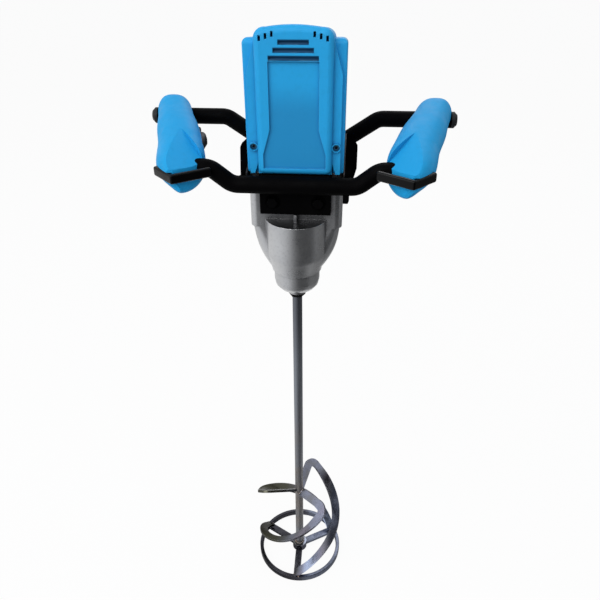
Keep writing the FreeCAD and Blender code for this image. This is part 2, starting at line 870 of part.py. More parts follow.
def make_stirrer_shaft():
    """The stirrer's rod with its threaded end, and the nut that locks it to the spindle."""
    rod = S.stirrer_shaft_diameter / 2
    thread = S.thread_diameter / 2
    thread_start = spindle_end - S.nut_height - S.gear_side_gap
    top = spindle_end + S.thread_depth
    keep(turned("stirrer_shaft", [
        (ZERO, ZERO), (rod, ZERO), (rod, thread_start), (thread, thread_start),
        (thread, top), (ZERO, top),
    ]))
    nut = doc.addObject("Part::Prism", "lock_nut_bar")
    nut.Polygon = 6
    nut.setExpression("Circumradius", (S.nut_flats / 2).text + " / cos(30 deg)")
    bind(nut, Height=S.nut_height)
    place(nut, z=spindle_end - S.nut_height)
    thread_hole = cylinder("lock_nut_thread", thread + S.press_fit, S.nut_height + S.overrun * 2,
                           z=spindle_end - S.nut_height - S.overrun)
    keep(cut("lock_nut", nut, thread_hole))


def make_spindle():
    """The output spindle with its threaded socket."""
    socket = S.thread_diameter / 2 + S.press_fit
    socket_top = spindle_end + S.thread_depth + S.gear_side_gap
    nose = S.spindle_nose_diameter / 2
    journal = S.spindle_diameter / 2
    tail = S.spindle_tail_diameter / 2
    keep(turned("spindle", [
        (ZERO, socket_top), (socket, socket_top), (socket, spindle_end), (nose, spindle_end),
        (nose, spindle_shoulder), (journal, spindle_shoulder), (journal, gear_roof),
        (tail, gear_roof), (tail, spindle_top), (ZERO, spindle_top),
    ]))


def bearing(label, inner, outer, floor, height, axis=SPINDLE):
    """A ball bearing: two races with a sunk shield between them."""
    race = (outer - inner) * RACE_SHARE
    low = floor + S.race_groove
    high = floor + height - S.race_groove
    top = floor + height
    body = turned(label, [
        (inner, floor), (inner + race, floor), (inner + race, low), (outer - race, low),
        (outer - race, floor), (outer, floor), (outer, top), (outer - race, top),
        (outer - race, high), (inner + race, high), (inner + race, top), (inner, top),
    ])
    body.Placement = Placement(axis, Rotation())
    keep(body)


def make_bearings():
    """The bearings of the spindle, countershaft and armature, and the spindle's seal."""
    journal = S.spindle_diameter / 2 + S.running_fit
    bearing("spindle_lower_bearing", journal, S.lower_bearing_diameter / 2,
            lower_bearing_floor, S.lower_bearing_height)
    bearing("spindle_upper_bearing", S.spindle_tail_diameter / 2 + S.running_fit,
            S.upper_bearing_diameter / 2, upper_bearing_floor, S.upper_bearing_height)
    keep(turned("spindle_seal", rectangle(
        journal, S.seal_diameter / 2, seal_floor, lower_bearing_floor)))
    counter = S.counter_journal_diameter / 2 + S.running_fit
    for label, floor in (("counter_lower_bearing", counter_lower_floor),
                         ("counter_upper_bearing", case_top)):
        bearing(label, counter, S.counter_bearing_diameter / 2, floor,
                S.counter_bearing_height, COUNTER)
    bearing("armature_lower_bearing", S.shaft_diameter / 2 + S.running_fit,
            S.motor_bearing_diameter / 2, motor_bearing_floor, S.motor_bearing_height, MOTOR)
    bearing("armature_upper_bearing", S.shaft_tail_diameter / 2 + S.running_fit,
            S.tail_bearing_diameter / 2, tail_bearing_floor, S.tail_bearing_height, MOTOR)


def involute(angle):
    """The involute function of a pressure angle."""
    return math.tan(angle) - angle


def toothed_outline(teeth, module, phase):
    """The outline of a spur gear whose tooth middles start at a phase angle."""
    pressure = math.radians(float(S.pressure_angle))
    pitch = module * teeth / 2
    base = pitch * math.cos(pressure)
    tip = pitch + module
    root = pitch - ROOT_SHARE * module
    start = max(base, root)
    half = math.pi / (2 * teeth) - float(S.backlash) / (4 * pitch)

    def flank(radius):
        return half + involute(pressure) - involute(math.acos(min(1.0, base / radius)))

    side = [(radius, flank(radius)) for radius in (start, pitch, tip)]
    if start > root:
        side.insert(0, (root, flank(start)))
    tooth = [(radius, -turn) for radius, turn in side]
    tooth += [(radius, turn) for radius, turn in reversed(side)]
    points = []
    for index in range(teeth):
        middle = phase + index * 2 * math.pi / teeth
        for radius, turn in tooth:
            angle = middle + turn
            points.append(Vector(radius * math.cos(angle), radius * math.sin(angle), 0))
    return Part.makePolygon(points + points[:1])


def gear(teeth, module, floor, width, axis, phase):
    """A spur gear blank with its teeth, before its bore."""
    outline = toothed_outline(int(float(teeth)), float(module), phase)
    outline.translate(Vector(axis.x, axis.y, float(floor)))
    return prism(outline, Vector(0, 0, float(width)))


def facing(start, end):
    """The angle of the line from one axis to another."""
    return math.atan2(end.y - start.y, end.x - start.x)


def make_gears():
    """The output gear, the countershaft with its gear and pinion, and the armature shaft."""
    half_output = math.pi / float(S.output_teeth)
    half_input = math.pi / float(S.input_teeth)
    output = gear(S.output_teeth, S.output_module, gear_floor, S.output_gear_width,
                  SPINDLE, facing(SPINDLE, COUNTER) + half_output)
    bore = bar_at(S.spindle_diameter / 2 + S.press_fit, gear_floor - S.overrun,
                  gear_roof + S.overrun, SPINDLE)
    shaped("output_gear", solid_of(output.cut(bore)))
    pinion = gear(S.pinion_teeth, S.output_module, gear_floor - S.pinion_overhang,
                  S.output_gear_width + S.pinion_overhang * 2, COUNTER,
                  facing(COUNTER, SPINDLE))
    wheel = gear(S.input_teeth, S.input_module, input_gear_floor, S.input_gear_width,
                 COUNTER, facing(COUNTER, MOTOR) + half_input)
    body = S.counter_shaft_diameter / 2
    journal = S.counter_journal_diameter / 2
    seat = bar_at(body + S.press_fit, input_gear_floor - S.overrun,
                  input_gear_roof + S.overrun, COUNTER)
    shaped("counter_gear", solid_of(wheel.cut(seat)))
    shaft = bar_at(journal, counter_lower_floor, case_top + S.counter_bearing_height, COUNTER)
    shaft = shaft.fuse(bar_at(body, gear_floor - S.pinion_overhang,
                              input_gear_roof + S.overrun, COUNTER))
    shaped("counter_shaft", solid_of(shaft.fuse(pinion)))


def make_armature():
    """The armature: its shaft with the pinion cut on it, core, commutator and fan."""
    pinion_floor = input_gear_floor - S.pinion_overhang
    pinion_roof = input_gear_roof + S.pinion_overhang
    pinion = gear(S.pinion_teeth, S.input_module, pinion_floor, pinion_roof - pinion_floor,
                  MOTOR, facing(MOTOR, COUNTER))
    radius = S.shaft_diameter / 2
    tail = S.shaft_tail_diameter / 2
    tail_top = tail_bearing_floor + S.tail_bearing_height
    shaft = bar_at(radius, pinion_roof + S.gear_tip_gap, bridge_floor, MOTOR)
    shaft = shaft.fuse(bar_at(tail, bridge_floor - S.overrun, tail_top, MOTOR))
    neck = S.input_module * (S.pinion_teeth / 2 - ROOT_SHARE)
    shaft = shaft.fuse(bar_at(neck, pinion_floor, pinion_roof + S.overrun * 2, MOTOR))
    shaped("armature_shaft", solid_of(shaft.fuse(pinion)))
    bore = radius + S.press_fit
    parts = (
        ("armature_core", S.armature_diameter / 2, armature_floor, armature_roof),
        ("commutator", S.commutator_diameter / 2, commutator_floor,
         commutator_floor + S.commutator_length),
    )
    for label, outer, floor, top in parts:
        body = turned(label, rectangle(bore, outer, floor, top))
        place(keep(body), y=S.motor_axis)
    make_fan(bore)


def make_fan(bore):
    """The cooling fan: a hubbed disc with straight radial blades."""
    hub_radius = S.fan_diameter * FAN_HUB_SHARE
    body = turned("fan_disc_turned", [
        (bore, fan_floor), (S.fan_diameter / 2, fan_floor),
        (S.fan_diameter / 2, fan_floor + S.fan_disc), (hub_radius, fan_floor + S.fan_disc),
        (hub_radius, fan_floor + S.fan_height), (bore, fan_floor + S.fan_height),
    ])
    place(body, y=S.motor_axis)
    doc.recompute()
    fan = body.Shape
    count = int(float(S.fan_blade_count))
    half = float(S.fan_blade_thickness) / 2
    for index in range(count):
        blade = box_between((hub_radius - S.overrun / 2, -half, fan_floor),
                            (S.fan_diameter / 2, half, fan_floor + S.fan_height))
        blade.rotate(SPINDLE, Vector(0, 0, 1), index * 360 / count)
        blade.translate(MOTOR)
        fan = fan.fuse(blade)
    shaped("cooling_fan", solid_of(fan))


def make_stator():
    """The laminated stator with its two windings, held in the housing's sleeve."""
    outer = S.stator_diameter / 2
    inner = S.armature_diameter / 2 + S.air_gap
    floor = armature_floor + S.stator_inset
    top = armature_roof - S.stator_inset
    place(keep(turned("stator_core", rectangle(inner, outer, floor, top))), y=S.motor_axis)
    coils = []
    for name, low in (("lower_winding", floor - S.coil_height), ("upper_winding", top)):
        ring = turned(name, rectangle(inner + S.air_gap, inner + S.air_gap + S.coil_wall,
                                      low, low + S.coil_height))
        coils.append(place(ring, y=S.motor_axis))
    group("field_coils", coils)


def make_brushes():
    """The bridge over the motor with its brush holders and carbon brushes."""
    half_bridge = S.bridge_width / 2
    half_width = housing_half_width - S.housing_wall - S.seat_fit
    bridge = block("bridge_bar", half_width * 2, S.bridge_width, S.bridge_height,
                   -half_width, S.motor_axis - half_bridge, bridge_floor)
    seat = cylinder("bridge_seat", S.tail_bearing_diameter / 2 + S.press_fit,
                    S.bridge_height, y=S.motor_axis, z=tail_bearing_floor)
    hole = cylinder("bridge_hole", S.shaft_diameter / 2 + S.slide_fit, S.bridge_height,
                    y=S.motor_axis, z=bridge_floor - S.overrun)
    keep(cut("brush_bridge", bridge, seat, hole))
    inner = S.commutator_diameter / 2 + S.brush_gap
    level = commutator_floor + (S.commutator_length - S.brush_height) / 2
    half_brush = S.brush_width / 2
    shell = S.brush_wall
    holders = []
    brushes = []
    for side, sign in SIDES:
        start = inner if sign > 0 else -inner - S.brush_length
        brushes.append(block(f"{side}_brush", S.brush_length, S.brush_width, S.brush_height,
                             start, S.motor_axis - half_brush, level))
        holder_start = inner + S.brush_wall
        holder_length = S.brush_length + S.brush_wall
        x = holder_start if sign > 0 else -holder_start - holder_length
        box = block(f"{side}_holder_box", holder_length, S.brush_width + shell * 2,
                    bridge_floor - level + shell, x, S.motor_axis - half_brush - shell,
                    level - shell)
        way = block(f"{side}_holder_way", holder_length, S.brush_width + S.seat_fit * 2,
                    S.brush_height + S.seat_fit * 2, x,
                    S.motor_axis - half_brush - S.seat_fit, level - S.seat_fit)
        holders.append(cut(f"{side}_holder", box, way))
    group("brush_holders", holders)
    group("carbon_brushes", brushes)


def bell_wires():
    """The level sections of the gear case's bell, from the block down to its neck."""
    drop = float(case_block_floor) - float(bell_neck_top)
    half_width = float(S.case_half_width) - float(S.case_step)
    neck = float(S.bell_neck_diameter) / 2
    wires = []
    for fall, width, front, back, corner in BELL_SHARES:
        half = half_width * width
        front_y = -(float(S.case_front) + (neck - float(S.case_front)) * front)
        back_y = (float(S.case_back) - float(S.case_step)) * back
        radius = min(half, (back_y - front_y) / 2) * corner
        wires.append(rounded_outline(half, front_y, back_y, radius, radius,
                                     float(case_block_floor) - drop * fall))
    return wires


def nose_solid():
    """The turned nose of the case: its rounded collar, neck, cone and barrel."""
    collar = float(S.collar_diameter) / 2
    floor = float(nose_floor)
    rise = float(collar_top) - floor
    neck = float(S.bell_neck_diameter) / 2
    barrel = float(S.barrel_diameter) / 2
    points = [Vector(0, 0, floor)]
    points += [Vector(collar * across, 0, floor + rise * up) for across, up in NOSE_SHARES]
    points += [
        Vector(collar, 0, float(collar_top)),
        Vector(neck, 0, float(collar_top)),
        Vector(neck, 0, float(bell_neck_top)),
        Vector(barrel, 0, float(barrel_floor)),
        Vector(barrel, 0, float(shelf_height)),
        Vector(0, 0, float(shelf_height)),
    ]
    profile = Part.Face(Part.makePolygon(points + points[:1]))
    return profile.revolve(SPINDLE, Vector(0, 0, 1), 360)


def case_outline(height):
    """The outline that the gear case's block and the bearing plate share."""
    return rounded_outline(S.case_half_width, -S.case_front, S.case_back,
                           S.case_corner, S.case_corner, height)


def housing_screw_places():
    """The four screws that hold the housing on the gear case."""
    across = float(housing_half_width) - float(S.boss_inset)
    front = float(S.front_boss_inset) - float(housing_front)
    back = float(housing_back) - float(S.rear_boss_inset)
    return [Vector(sign * across, y, 0) for _, sign in SIDES for y in (front, back)]


def make_gear_case():
    """The cast gear case: bell, barrel, collar and block, with its bores and gear chamber."""
    case = Part.makeLoft(bell_wires(), True, False)
    case = case.fuse(nose_solid())
    height = float(case_top) - float(case_block_floor)
    case = case.fuse(prism(case_outline(case_block_floor), Vector(0, 0, height)))
    rib = box_between((-S.shelf_rib_width / 2, -S.case_front - S.shelf_rib_height,
                       shelf_height - S.overrun),
                      (S.shelf_rib_width / 2, -S.case_front + S.overrun,
                       shelf_height + S.shelf_rib_height))
    case = case.fuse(rib)
    fit = S.press_fit
    gap = S.gear_tip_gap
    output_tip = S.output_module * (S.output_teeth / 2 + 1) + gap
    pinion_tip = S.output_module * (S.pinion_teeth / 2 + 1) + gap
    wheel_tip = S.input_module * (S.input_teeth / 2 + 1) + gap
    side = S.gear_side_gap
    cuts = [
        bar_at(S.spindle_diameter / 2 + S.lip_gap, nose_floor - S.overrun,
               gear_floor, SPINDLE),
        bar_at(S.seal_diameter / 2 + fit, seal_floor, lower_bearing_floor, SPINDLE),
        bar_at(S.lower_bearing_diameter / 2 + fit, lower_bearing_floor, lower_bearing_top,
               SPINDLE),
        bar_at(S.lower_bearing_diameter / 2 - S.overrun, lower_bearing_top, gear_floor,
               SPINDLE),
        bar_at(output_tip, gear_floor - side, upper_bearing_floor, SPINDLE),
        bar_at(S.upper_bearing_diameter / 2 + fit, upper_bearing_floor,
               spindle_top + S.lip_gap, SPINDLE),
        bar_at(S.counter_bearing_diameter / 2 + fit, counter_lower_floor, gear_floor - side,
               COUNTER),
        bar_at(pinion_tip, gear_floor - side, case_top + S.overrun, COUNTER),
        bar_at(wheel_tip, input_gear_floor - side, case_top + S.overrun, COUNTER),
        bar_at(S.shaft_diameter, input_gear_floor - side - S.overrun, case_top + S.overrun, MOTOR),
    ]
    for spot in housing_screw_places():
        cuts.append(bar_at(S.screw_diameter / 2 + fit,
                           case_top - S.case_thread_depth - S.overrun,
                           case_top + S.overrun, spot))
    cuts += bolt_holes()
    for tool in cuts:
        case = case.cut(tool)
    shaped("gear_case", solid_of(case))


def bolt_holes():
    """The threaded holes for the frame's bolts in the case's front and back walls."""
    holes = []
    radius = float(S.bolt_diameter) / 2 + float(S.press_fit)
    depth = float(S.bolt_depth) + float(S.overrun)
    for _, sign in SIDES:
        across = sign * float(S.bolt_span)
        for wall, inward in ((-float(S.case_front), 1), (float(S.case_back), -1)):
            base = Vector(across, wall - inward * float(S.overrun), float(bolt_height))
            holes.append(Part.makeCylinder(radius, depth + float(S.overrun), base,
                                           Vector(0, inward, 0)))
    return holes


def make_bearing_plate():
    """The plate between gear case and motor, with the seats of two bearings."""
    body = prism(case_outline(case_top), Vector(0, 0, float(S.bearing_plate_height)))
    fit = S.press_fit
    cuts = [
        bar_at(S.motor_bearing_diameter / 2 + fit, motor_bearing_floor, case_roof + S.overrun,
               MOTOR),
        bar_at(S.shaft_diameter / 2 + S.slide_fit, case_top - S.overrun, case_roof, MOTOR),
        bar_at(S.counter_bearing_diameter / 2 + fit, case_top - S.overrun,
               case_top + S.counter_bearing_height, COUNTER),
    ]
    for spot in housing_screw_places():
        cuts.append(bar_at(S.screw_diameter / 2 + S.seat_fit, case_top - S.overrun,
                           case_roof + S.overrun, spot))
    for tool in cuts:
        body = body.cut(tool)
    shaped("bearing_plate", solid_of(body))


def make_housing_screws():
    """The four long screws from the housing down into the gear case."""
    screws = []
    head_floor = case_roof + S.boss_height
    for spot in housing_screw_places():
        shank = bar_at(S.screw_diameter / 2, case_top - S.case_thread_depth, head_floor, spot)
        head = bar_at(S.screw_head_diameter / 2, head_floor,
                      head_floor + S.screw_head_height, spot)
        screws.append(solid_of(shank.fuse(head)))
    shaped("housing_screws", Part.makeCompound(screws))


def roof_level(depth):
    """The height of the housing's sloping roof at a depth behind the spindle's axis."""
    share = (float(depth) + float(housing_front)) / float(housing_front + housing_back)
    return float(housing_top) - float(S.roof_fall) * share


def roof_edges(shape):
    """The edges of a solid that lie in the roof's sloping plane."""
    return [edge for edge in shape.Edges
            if all(abs(vertex.Z - roof_level(vertex.Y)) < TOLERANCE for vertex in edge.Vertexes)]


def side_prism(points, half_width):
    """A prism along X, even about the middle plane, from an outline of (y, z) points."""
    half = float(half_width)
    corners = [Vector(-half, float(y), float(z)) for y, z in points]
    return prism(Part.makePolygon(corners + corners[:1]), Vector(half * 2, 0, 0))


def over_roof(drop):
    """The space over the roof's plane, or over one that lies lower by a drop."""
    front = -float(housing_front + S.overrun)
    back = float(housing_back + S.overrun)
    top = float(housing_top + S.overrun)
    drop = float(drop)
    return side_prism([(front, roof_level(front) - drop), (back, roof_level(back) - drop),
                       (back, top), (front, top)], S.case_half_width + S.overrun)


def front_edges(shape, depth):
    """The edges of a solid that lie in one upright plane across Y."""
    return [edge for edge in shape.Edges
            if all(abs(vertex.Y - float(depth)) < TOLERANCE for vertex in edge.Vertexes)]


def make_rear_housing():
    """The motor housing: a moulded shell open to the front and below, with the stator's sleeve."""
    wall = S.housing_wall
    height = housing_top - case_roof
    sharp = wall / 2
    outline = rounded_outline(housing_half_width, -housing_front, housing_back,
                              sharp, S.housing_corner, case_roof)
    shell = prism(outline, Vector(0, 0, float(height))).cut(over_roof(ZERO))
    shell = shell.makeFillet(float(S.housing_round), roof_edges(shell))
    rim_back = -housing_front + S.rim_depth
    inside = rounded_outline(housing_half_width - wall, rim_back, housing_back - wall,
                             sharp, S.housing_corner - wall, case_roof - S.overrun)
    room = prism(inside, Vector(0, 0, float(height + S.overrun)))
    shell = shell.cut(room.cut(over_roof(wall)))
    opening = housing_half_width - S.rim_width
    shell = shell.cut(box_between(
        (-opening, -housing_front - S.overrun, case_roof - S.overrun),
        (opening, rim_back + S.overrun, housing_top - S.rim_width)))
    shell = shell.fuse(stator_sleeve(wall))
    for spot in housing_screw_places():
        shell = shell.fuse(bar_at(S.boss_diameter / 2, case_roof, case_roof + S.boss_height, spot))
    for spot in housing_screw_places():
        shell = shell.cut(bar_at(S.screw_diameter / 2 + S.seat_fit, case_roof - S.overrun,
                                 case_roof + S.boss_height + S.overrun, spot))
        shell = shell.cut(bar_at(S.screw_head_diameter / 2 + S.seat_fit,
                                 case_roof + S.boss_height,
                                 case_roof + S.boss_height + S.screw_head_height * 2, spot))
    for tool in rear_vents() + cover_screw_holes(S.cover_screw_diameter / 2 + S.press_fit):
        shell = shell.cut(tool)
    gland_base = Vector(0, float(housing_back) - float(wall) - float(S.overrun),
                        float(gland_height))
    gland = Part.makeCylinder(float(S.gland_diameter / 2 + S.press_fit),
                              float(wall + S.overrun * 2), gland_base, Vector(0, 1, 0))
    shaped("rear_housing", solid_of(shell.cut(gland)))


def stator_sleeve(wall):
    """The sleeve round the stator with the ribs that tie it to the housing's walls."""
    inner = S.stator_diameter / 2 + S.press_fit
    outer = inner + S.sleeve_wall
    floor = armature_floor
    sleeve = bar_at(outer, floor, armature_roof, MOTOR)
    half_rib = S.sleeve_wall
    near = outer - half_rib / 2
    far = housing_half_width - wall / 2
    ribs = []
    for low, high in ((near, far), (-far, -near)):
        ribs.append(box_between((low, S.motor_axis - half_rib, floor),
                                (high, S.motor_axis + half_rib, armature_roof)))
    ribs.append(box_between((-half_rib, S.motor_axis + outer - half_rib / 2, floor),
                            (half_rib, housing_back - wall / 2, armature_roof)))
    for rib in ribs:
        sleeve = sleeve.fuse(rib)
    return sleeve.cut(bar_at(inner, floor - S.overrun, armature_roof + S.overrun, MOTOR))


def rear_vents():
    """The air outlets across the housing's back wall."""
    vents = []
    for index in range(int(float(S.rear_vent_count))):
        floor = rear_vent_floor + S.rear_vent_pitch * index
        vents.append(box_between(
            (-S.rear_vent_half_length, housing_back - S.housing_wall - S.overrun, floor),
            (S.rear_vent_half_length, housing_back + S.overrun, floor + S.rear_vent_height)))
    return vents


def cover_screw_holes(radius):
    """Holes along Y at the two screws of the front cover."""
    across = float(housing_half_width - S.boss_inset)
    reach = float(cover_front)
    holes = []
    for _, sign in SIDES:
        base = Vector(sign * across, -reach, float(cover_screw_height))
        length = reach - float(housing_front) + float(S.rim_depth) - float(S.housing_wall) / 2
        holes.append(Part.makeCylinder(float(radius), length, base, Vector(0, 1, 0)))
    return holes


def cover_outline(depth):
    """The front cover's raised block seen from the front, with its domed top."""
    half = float(cover_block_half_width)
    top = float(hood_top)
    drop = float(S.hood_shoulder)
    crown = drop * HOOD_CROWN_SHARE
    floor = float(cover_floor)
    round_off = half * HOOD_ROUND_SHARE
    y = -float(depth)

    def at(x, z):
        return Vector(x, y, z)

    right = at(half, top - drop)
    turn = at(half - round_off, top - crown)
    middle = at(half - round_off * HOOD_TURN_SHARE, top - crown - (drop - crown) * HOOD_TURN_SHARE)
    foot = float(S.cover_foot_round)
    near = foot * (1 - math.sqrt(0.5))
    edges = [
        Part.LineSegment(at(foot - half, floor), at(half - foot, floor)).toShape(),
        Part.Arc(at(half - foot, floor), at(half - near, floor + near),
                 at(half, floor + foot)).toShape(),
        Part.LineSegment(at(half, floor + foot), right).toShape(),
        Part.Arc(right, middle, turn).toShape(),
        Part.Arc(turn, at(0, top), at(-turn.x, turn.z)).toShape(),
        Part.Arc(at(-turn.x, turn.z), at(-middle.x, middle.z), at(-right.x, right.z)).toShape(),
        Part.LineSegment(at(-right.x, right.z), at(-half, floor + foot)).toShape(),
        Part.Arc(at(-half, floor + foot), at(near - half, floor + near),
                 at(foot - half, floor)).toShape(),
    ]
    return Part.Wire(edges)


def level_prism(points, front, back):
    """A prism along Y from an outline of (x, z) points."""
    corners = [Vector(float(x), -float(front), float(z)) for x, z in points]
    face = Part.Face(Part.makePolygon(corners + corners[:1]))
    return face.extrude(Vector(0, float(front) - float(back), 0))


def make_front_cover():
    """The moulded front cover with its hood, sunk panel and air inlets."""
    wall = S.housing_wall
    half = cover_half_width
    slab_front = housing_front + S.cover_slab
    slab = level_prism([
        (-half, case_roof), (half, case_roof), (half, cover_shoulder),
        (cover_block_half_width, housing_top - wall),
        (-cover_block_half_width, housing_top - wall), (-half, cover_shoulder),
    ], slab_front, housing_front)
    outline = cover_outline(cover_front)
    reach = float(cover_front + hood_back)
    fall = roof_level(-cover_front) - roof_level(hood_back)
    raised = prism(outline, Vector(0, reach, -fall))
    raised = raised.makeFillet(float(S.cover_block_round),
                               front_edges(raised, -cover_front) + front_edges(raised, hood_back))
    back = hood_back + S.overrun
    lowest = cover_floor - S.roof_fall - S.overrun
    behind = side_prism([(-housing_front, lowest), (back, lowest), (back, roof_level(back)),
                         (-housing_front, housing_top)], half)
    below = box_between((-half, -cover_front - S.overrun, lowest), (half, back, cover_floor))
    cover = raised.cut(behind).cut(below).fuse(slab)
    across = housing_half_width - S.boss_inset
    for _, sign in SIDES:
        base = Vector(sign * float(across), -float(slab_front + S.cover_boss_height),
                      float(cover_screw_height))
        cover = cover.fuse(Part.makeCylinder(float(half - across), float(S.cover_boss_height),
                                             base, Vector(0, 1, 0)))
    inner = cover_block_half_width - wall
    inside_front = cover_front - S.panel_depth - wall
    cover = cover.cut(box_between((-inner, -inside_front, cover_floor + wall),
                                  (inner, -housing_front + S.overrun, housing_top - wall)))
    hollow_back = hood_back - wall * 2
    hollow_fall = roof_level(-inside_front) - roof_level(hollow_back)
    hollow_low = float(housing_top - S.rim_width)
    hollow_high = float(hood_top - wall * 2)
    cover = cover.cut(side_prism([
        (-inside_front, hollow_low), (hollow_back, hollow_low - hollow_fall),
        (hollow_back, hollow_high - hollow_fall), (-inside_front, hollow_high),
    ], cover_block_half_width - wall * 3))
    for tool in cover_cuts():
        cover = cover.cut(tool)
    shaped("front_cover", solid_of(cover))


def cover_cuts():
    """The front cover's sunk panel, air slots, hood vents and screw holes."""
    flare = panel_half_width + S.panel_flare
    half = panel_half_width
    cuts = [level_prism([
        (-flare, panel_floor), (flare, panel_floor), (flare, panel_flare_floor),
        (half, panel_flare_top), (half, panel_top), (-half, panel_top),
        (-half, panel_flare_top), (-flare, panel_flare_floor),
    ], cover_front + S.overrun, cover_front - S.panel_depth)]
    through = housing_front - S.overrun
    for index in range(int(float(S.slot_count))):
        top = slot_top - S.slot_pitch * index
        reach = S.slot_half_length + S.slot_growth * index
        cuts.append(box_between((-reach, -cover_front - S.overrun, top - S.slot_height),
                                (reach, -through, top)))
    outermost = float(cover_block_half_width - S.hood_vent_inset)
    half_vent = float(S.hood_vent_width) / 2
    vent_count = int(float(S.hood_vent_count))
    for _, sign in SIDES:
        for index in range(vent_count):
            middle = sign * (outermost - index * float(S.hood_vent_pitch))
            step = float(S.hood_vent_step) * (vent_count - 1 - index)
            floor = float(housing_top) + half_vent * 2 - step
            cuts.append(box_between((middle - half_vent, -cover_front - S.overrun, floor),
                                    (middle + half_vent, -through,
                                     floor + float(S.hood_vent_height))))
    cuts += cover_screw_holes(S.cover_screw_diameter / 2 + S.seat_fit)
    edge = cover_block_half_width
    for _, sign in SIDES:
        cuts.append(level_prism([
            (sign * edge, case_roof - S.overrun),
            (sign * (edge + S.cover_notch_width), case_roof - S.overrun),
            (sign * edge, case_roof + S.cover_notch_height),
        ], cover_front, housing_front - S.overrun))
    slab_front = float(housing_front + S.cover_slab)
    for _, sign in SIDES:
        base = Vector(sign * float(housing_half_width - S.boss_inset), -float(cover_front),
                      float(cover_screw_height))
        depth = float(cover_front) - slab_front + float(S.cover_screw_sink)
        cuts.append(Part.makeCylinder(float(S.cover_screw_head / 2 + S.seat_fit), depth, base,
                                      Vector(0, 1, 0)))
    return cuts


def make_cover_screws():
    """The two screws of the front cover, sunk in their recesses."""
    screws = []
    across = housing_half_width - S.boss_inset
    seat = housing_front + S.cover_slab - S.cover_screw_sink
    shank_length = seat - housing_front + S.rim_depth - S.housing_wall
    for side, sign in SIDES:
        x = across if sign > 0 else -across
        shank = cylinder(f"{side}_cover_shank", S.cover_screw_diameter / 2, shank_length,
                         x, -seat, cover_screw_height, ALONG_Y)
        head = cylinder(f"{side}_cover_head", S.cover_screw_head / 2, S.cover_screw_sink - S.seat_fit,
                        x, -seat, cover_screw_height, AGAINST_Y)
        screws.append(fuse(f"{side}_cover_screw", shank, head))
    group("cover_screws", screws)


def make_gland():
    """The rubber inlet in the housing's back wall."""
    radius = S.gland_diameter / 2
    flange = S.gland_flange_diameter / 2
    bore = S.gland_bore / 2
    inside = S.housing_wall + S.overrun
    body = turned("cable_gland", [
        (ZERO, -inside), (radius, -inside), (radius, ZERO), (flange, ZERO),
        (flange, S.gland_flange), (bore, S.gland_flange),
        (bore, S.gland_flange - S.gland_depth / 2), (ZERO, S.gland_flange - S.gland_depth / 2),
    ])
    keep(place(body, y=housing_back, z=gland_height, turn=ALONG_Y))


def make_tubes():
    """The two bent tubes of the handle frame and the caps of the rear one."""
    shaped("front_tube", solid_of(bent_tube(front_tube_points(front_tube_end))))
    rear_y = float(rear_tube_depth)
    half, run = float(S.rear_tube_half_span), float(S.rear_tube_run)
    low, high = float(rear_tube_height), float(rear_tube_top)
    end = float(rear_tube_end)
    places = [(-end, high), (-half - run, high), (-half, low), (half, low), (half + run, high),
              (end, high)]
    shaped("rear_tube", solid_of(bent_tube([Vector(x, rear_y, z) for x, z in places])))
    caps = []
    plug = tube_radius - S.tube_wall - S.seat_fit
    for side, sign in SIDES:
        cap = turned(f"{side}_cap", [
            (ZERO, -S.cap_plug), (plug, -S.cap_plug), (plug, ZERO), (tube_radius, ZERO),
            (tube_radius, S.cap_length / 2), (tube_radius - S.cap_length / 2, S.cap_length),
            (ZERO, S.cap_length),
        ])
        x = rear_tube_end if sign > 0 else -rear_tube_end
        turn = ALONG_X if sign > 0 else AGAINST_X
        caps.append(place(cap, x, rear_tube_depth, rear_tube_top, turn))
    group("tube_end_caps", caps)


def make_frame_plates():
    """The plates that bolt the tubes to the gear case, and the side plates between the tubes."""
    half_thick = S.plate_thickness / 2
    outline = rectangle(-plate_half_width, plate_half_width, plate_floor, case_roof)
    for label, middle in (("front_plate", -S.case_front - half_thick),
                          ("rear_plate", S.case_back + half_thick)):
        body = plate(label + "_blank", outline, S.plate_thickness, "XZ_Plane")
        place(body, y=middle)
        holes = []
        for side, sign in SIDES:
            x = S.bolt_span if sign > 0 else -S.bolt_span
            holes.append(cylinder(f"{label}_{side}_hole", S.bolt_diameter / 2 + S.seat_fit,
                                  S.plate_thickness * 2, x, middle - S.plate_thickness,
                                  bolt_height, ALONG_Y))
        keep(cut(label, body, *holes))
    front = -front_plate_face
    back = rear_plate_face
    half_front = S.side_plate_front_height / 2
    middle_y = (back + front) / 2
    middle_top = (front_tube_height + half_front + side_plate_back_floor
                  + S.side_plate_back_height) / 2 + S.side_plate_hump
    near = housing_half_width + S.side_plate_gap
    far = near + S.side_plate_bow
    bow_front, bow_back = (front + (back - front) * share for share in BOW_SHARES)
    bowed_outline = [
        (near, front), (near, back), (near + S.plate_thickness, back),
        (far + S.plate_thickness, bow_back), (far + S.plate_thickness, bow_front),
        (near + S.plate_thickness, front),
    ]
    for side, sign in SIDES:
        flat = plate(f"{side}_side_plate_flat", [
            (front, front_tube_height - half_front), (back, side_plate_back_floor),
            (back, side_plate_back_floor + S.side_plate_back_height), (middle_y, middle_top),
            (front, front_tube_height + half_front),
        ], (far + S.plate_thickness * 2) * 2, "YZ_Plane")
        bowed = plate(f"{side}_side_plate_bow", [(x * sign, y) for x, y in bowed_outline],
                      middle_top * 2, "XY_Plane")
        body = doc.addObject("Part::MultiCommon", f"{side}_side_plate")
        body.Shapes = [flat, bowed]
        keep(body)


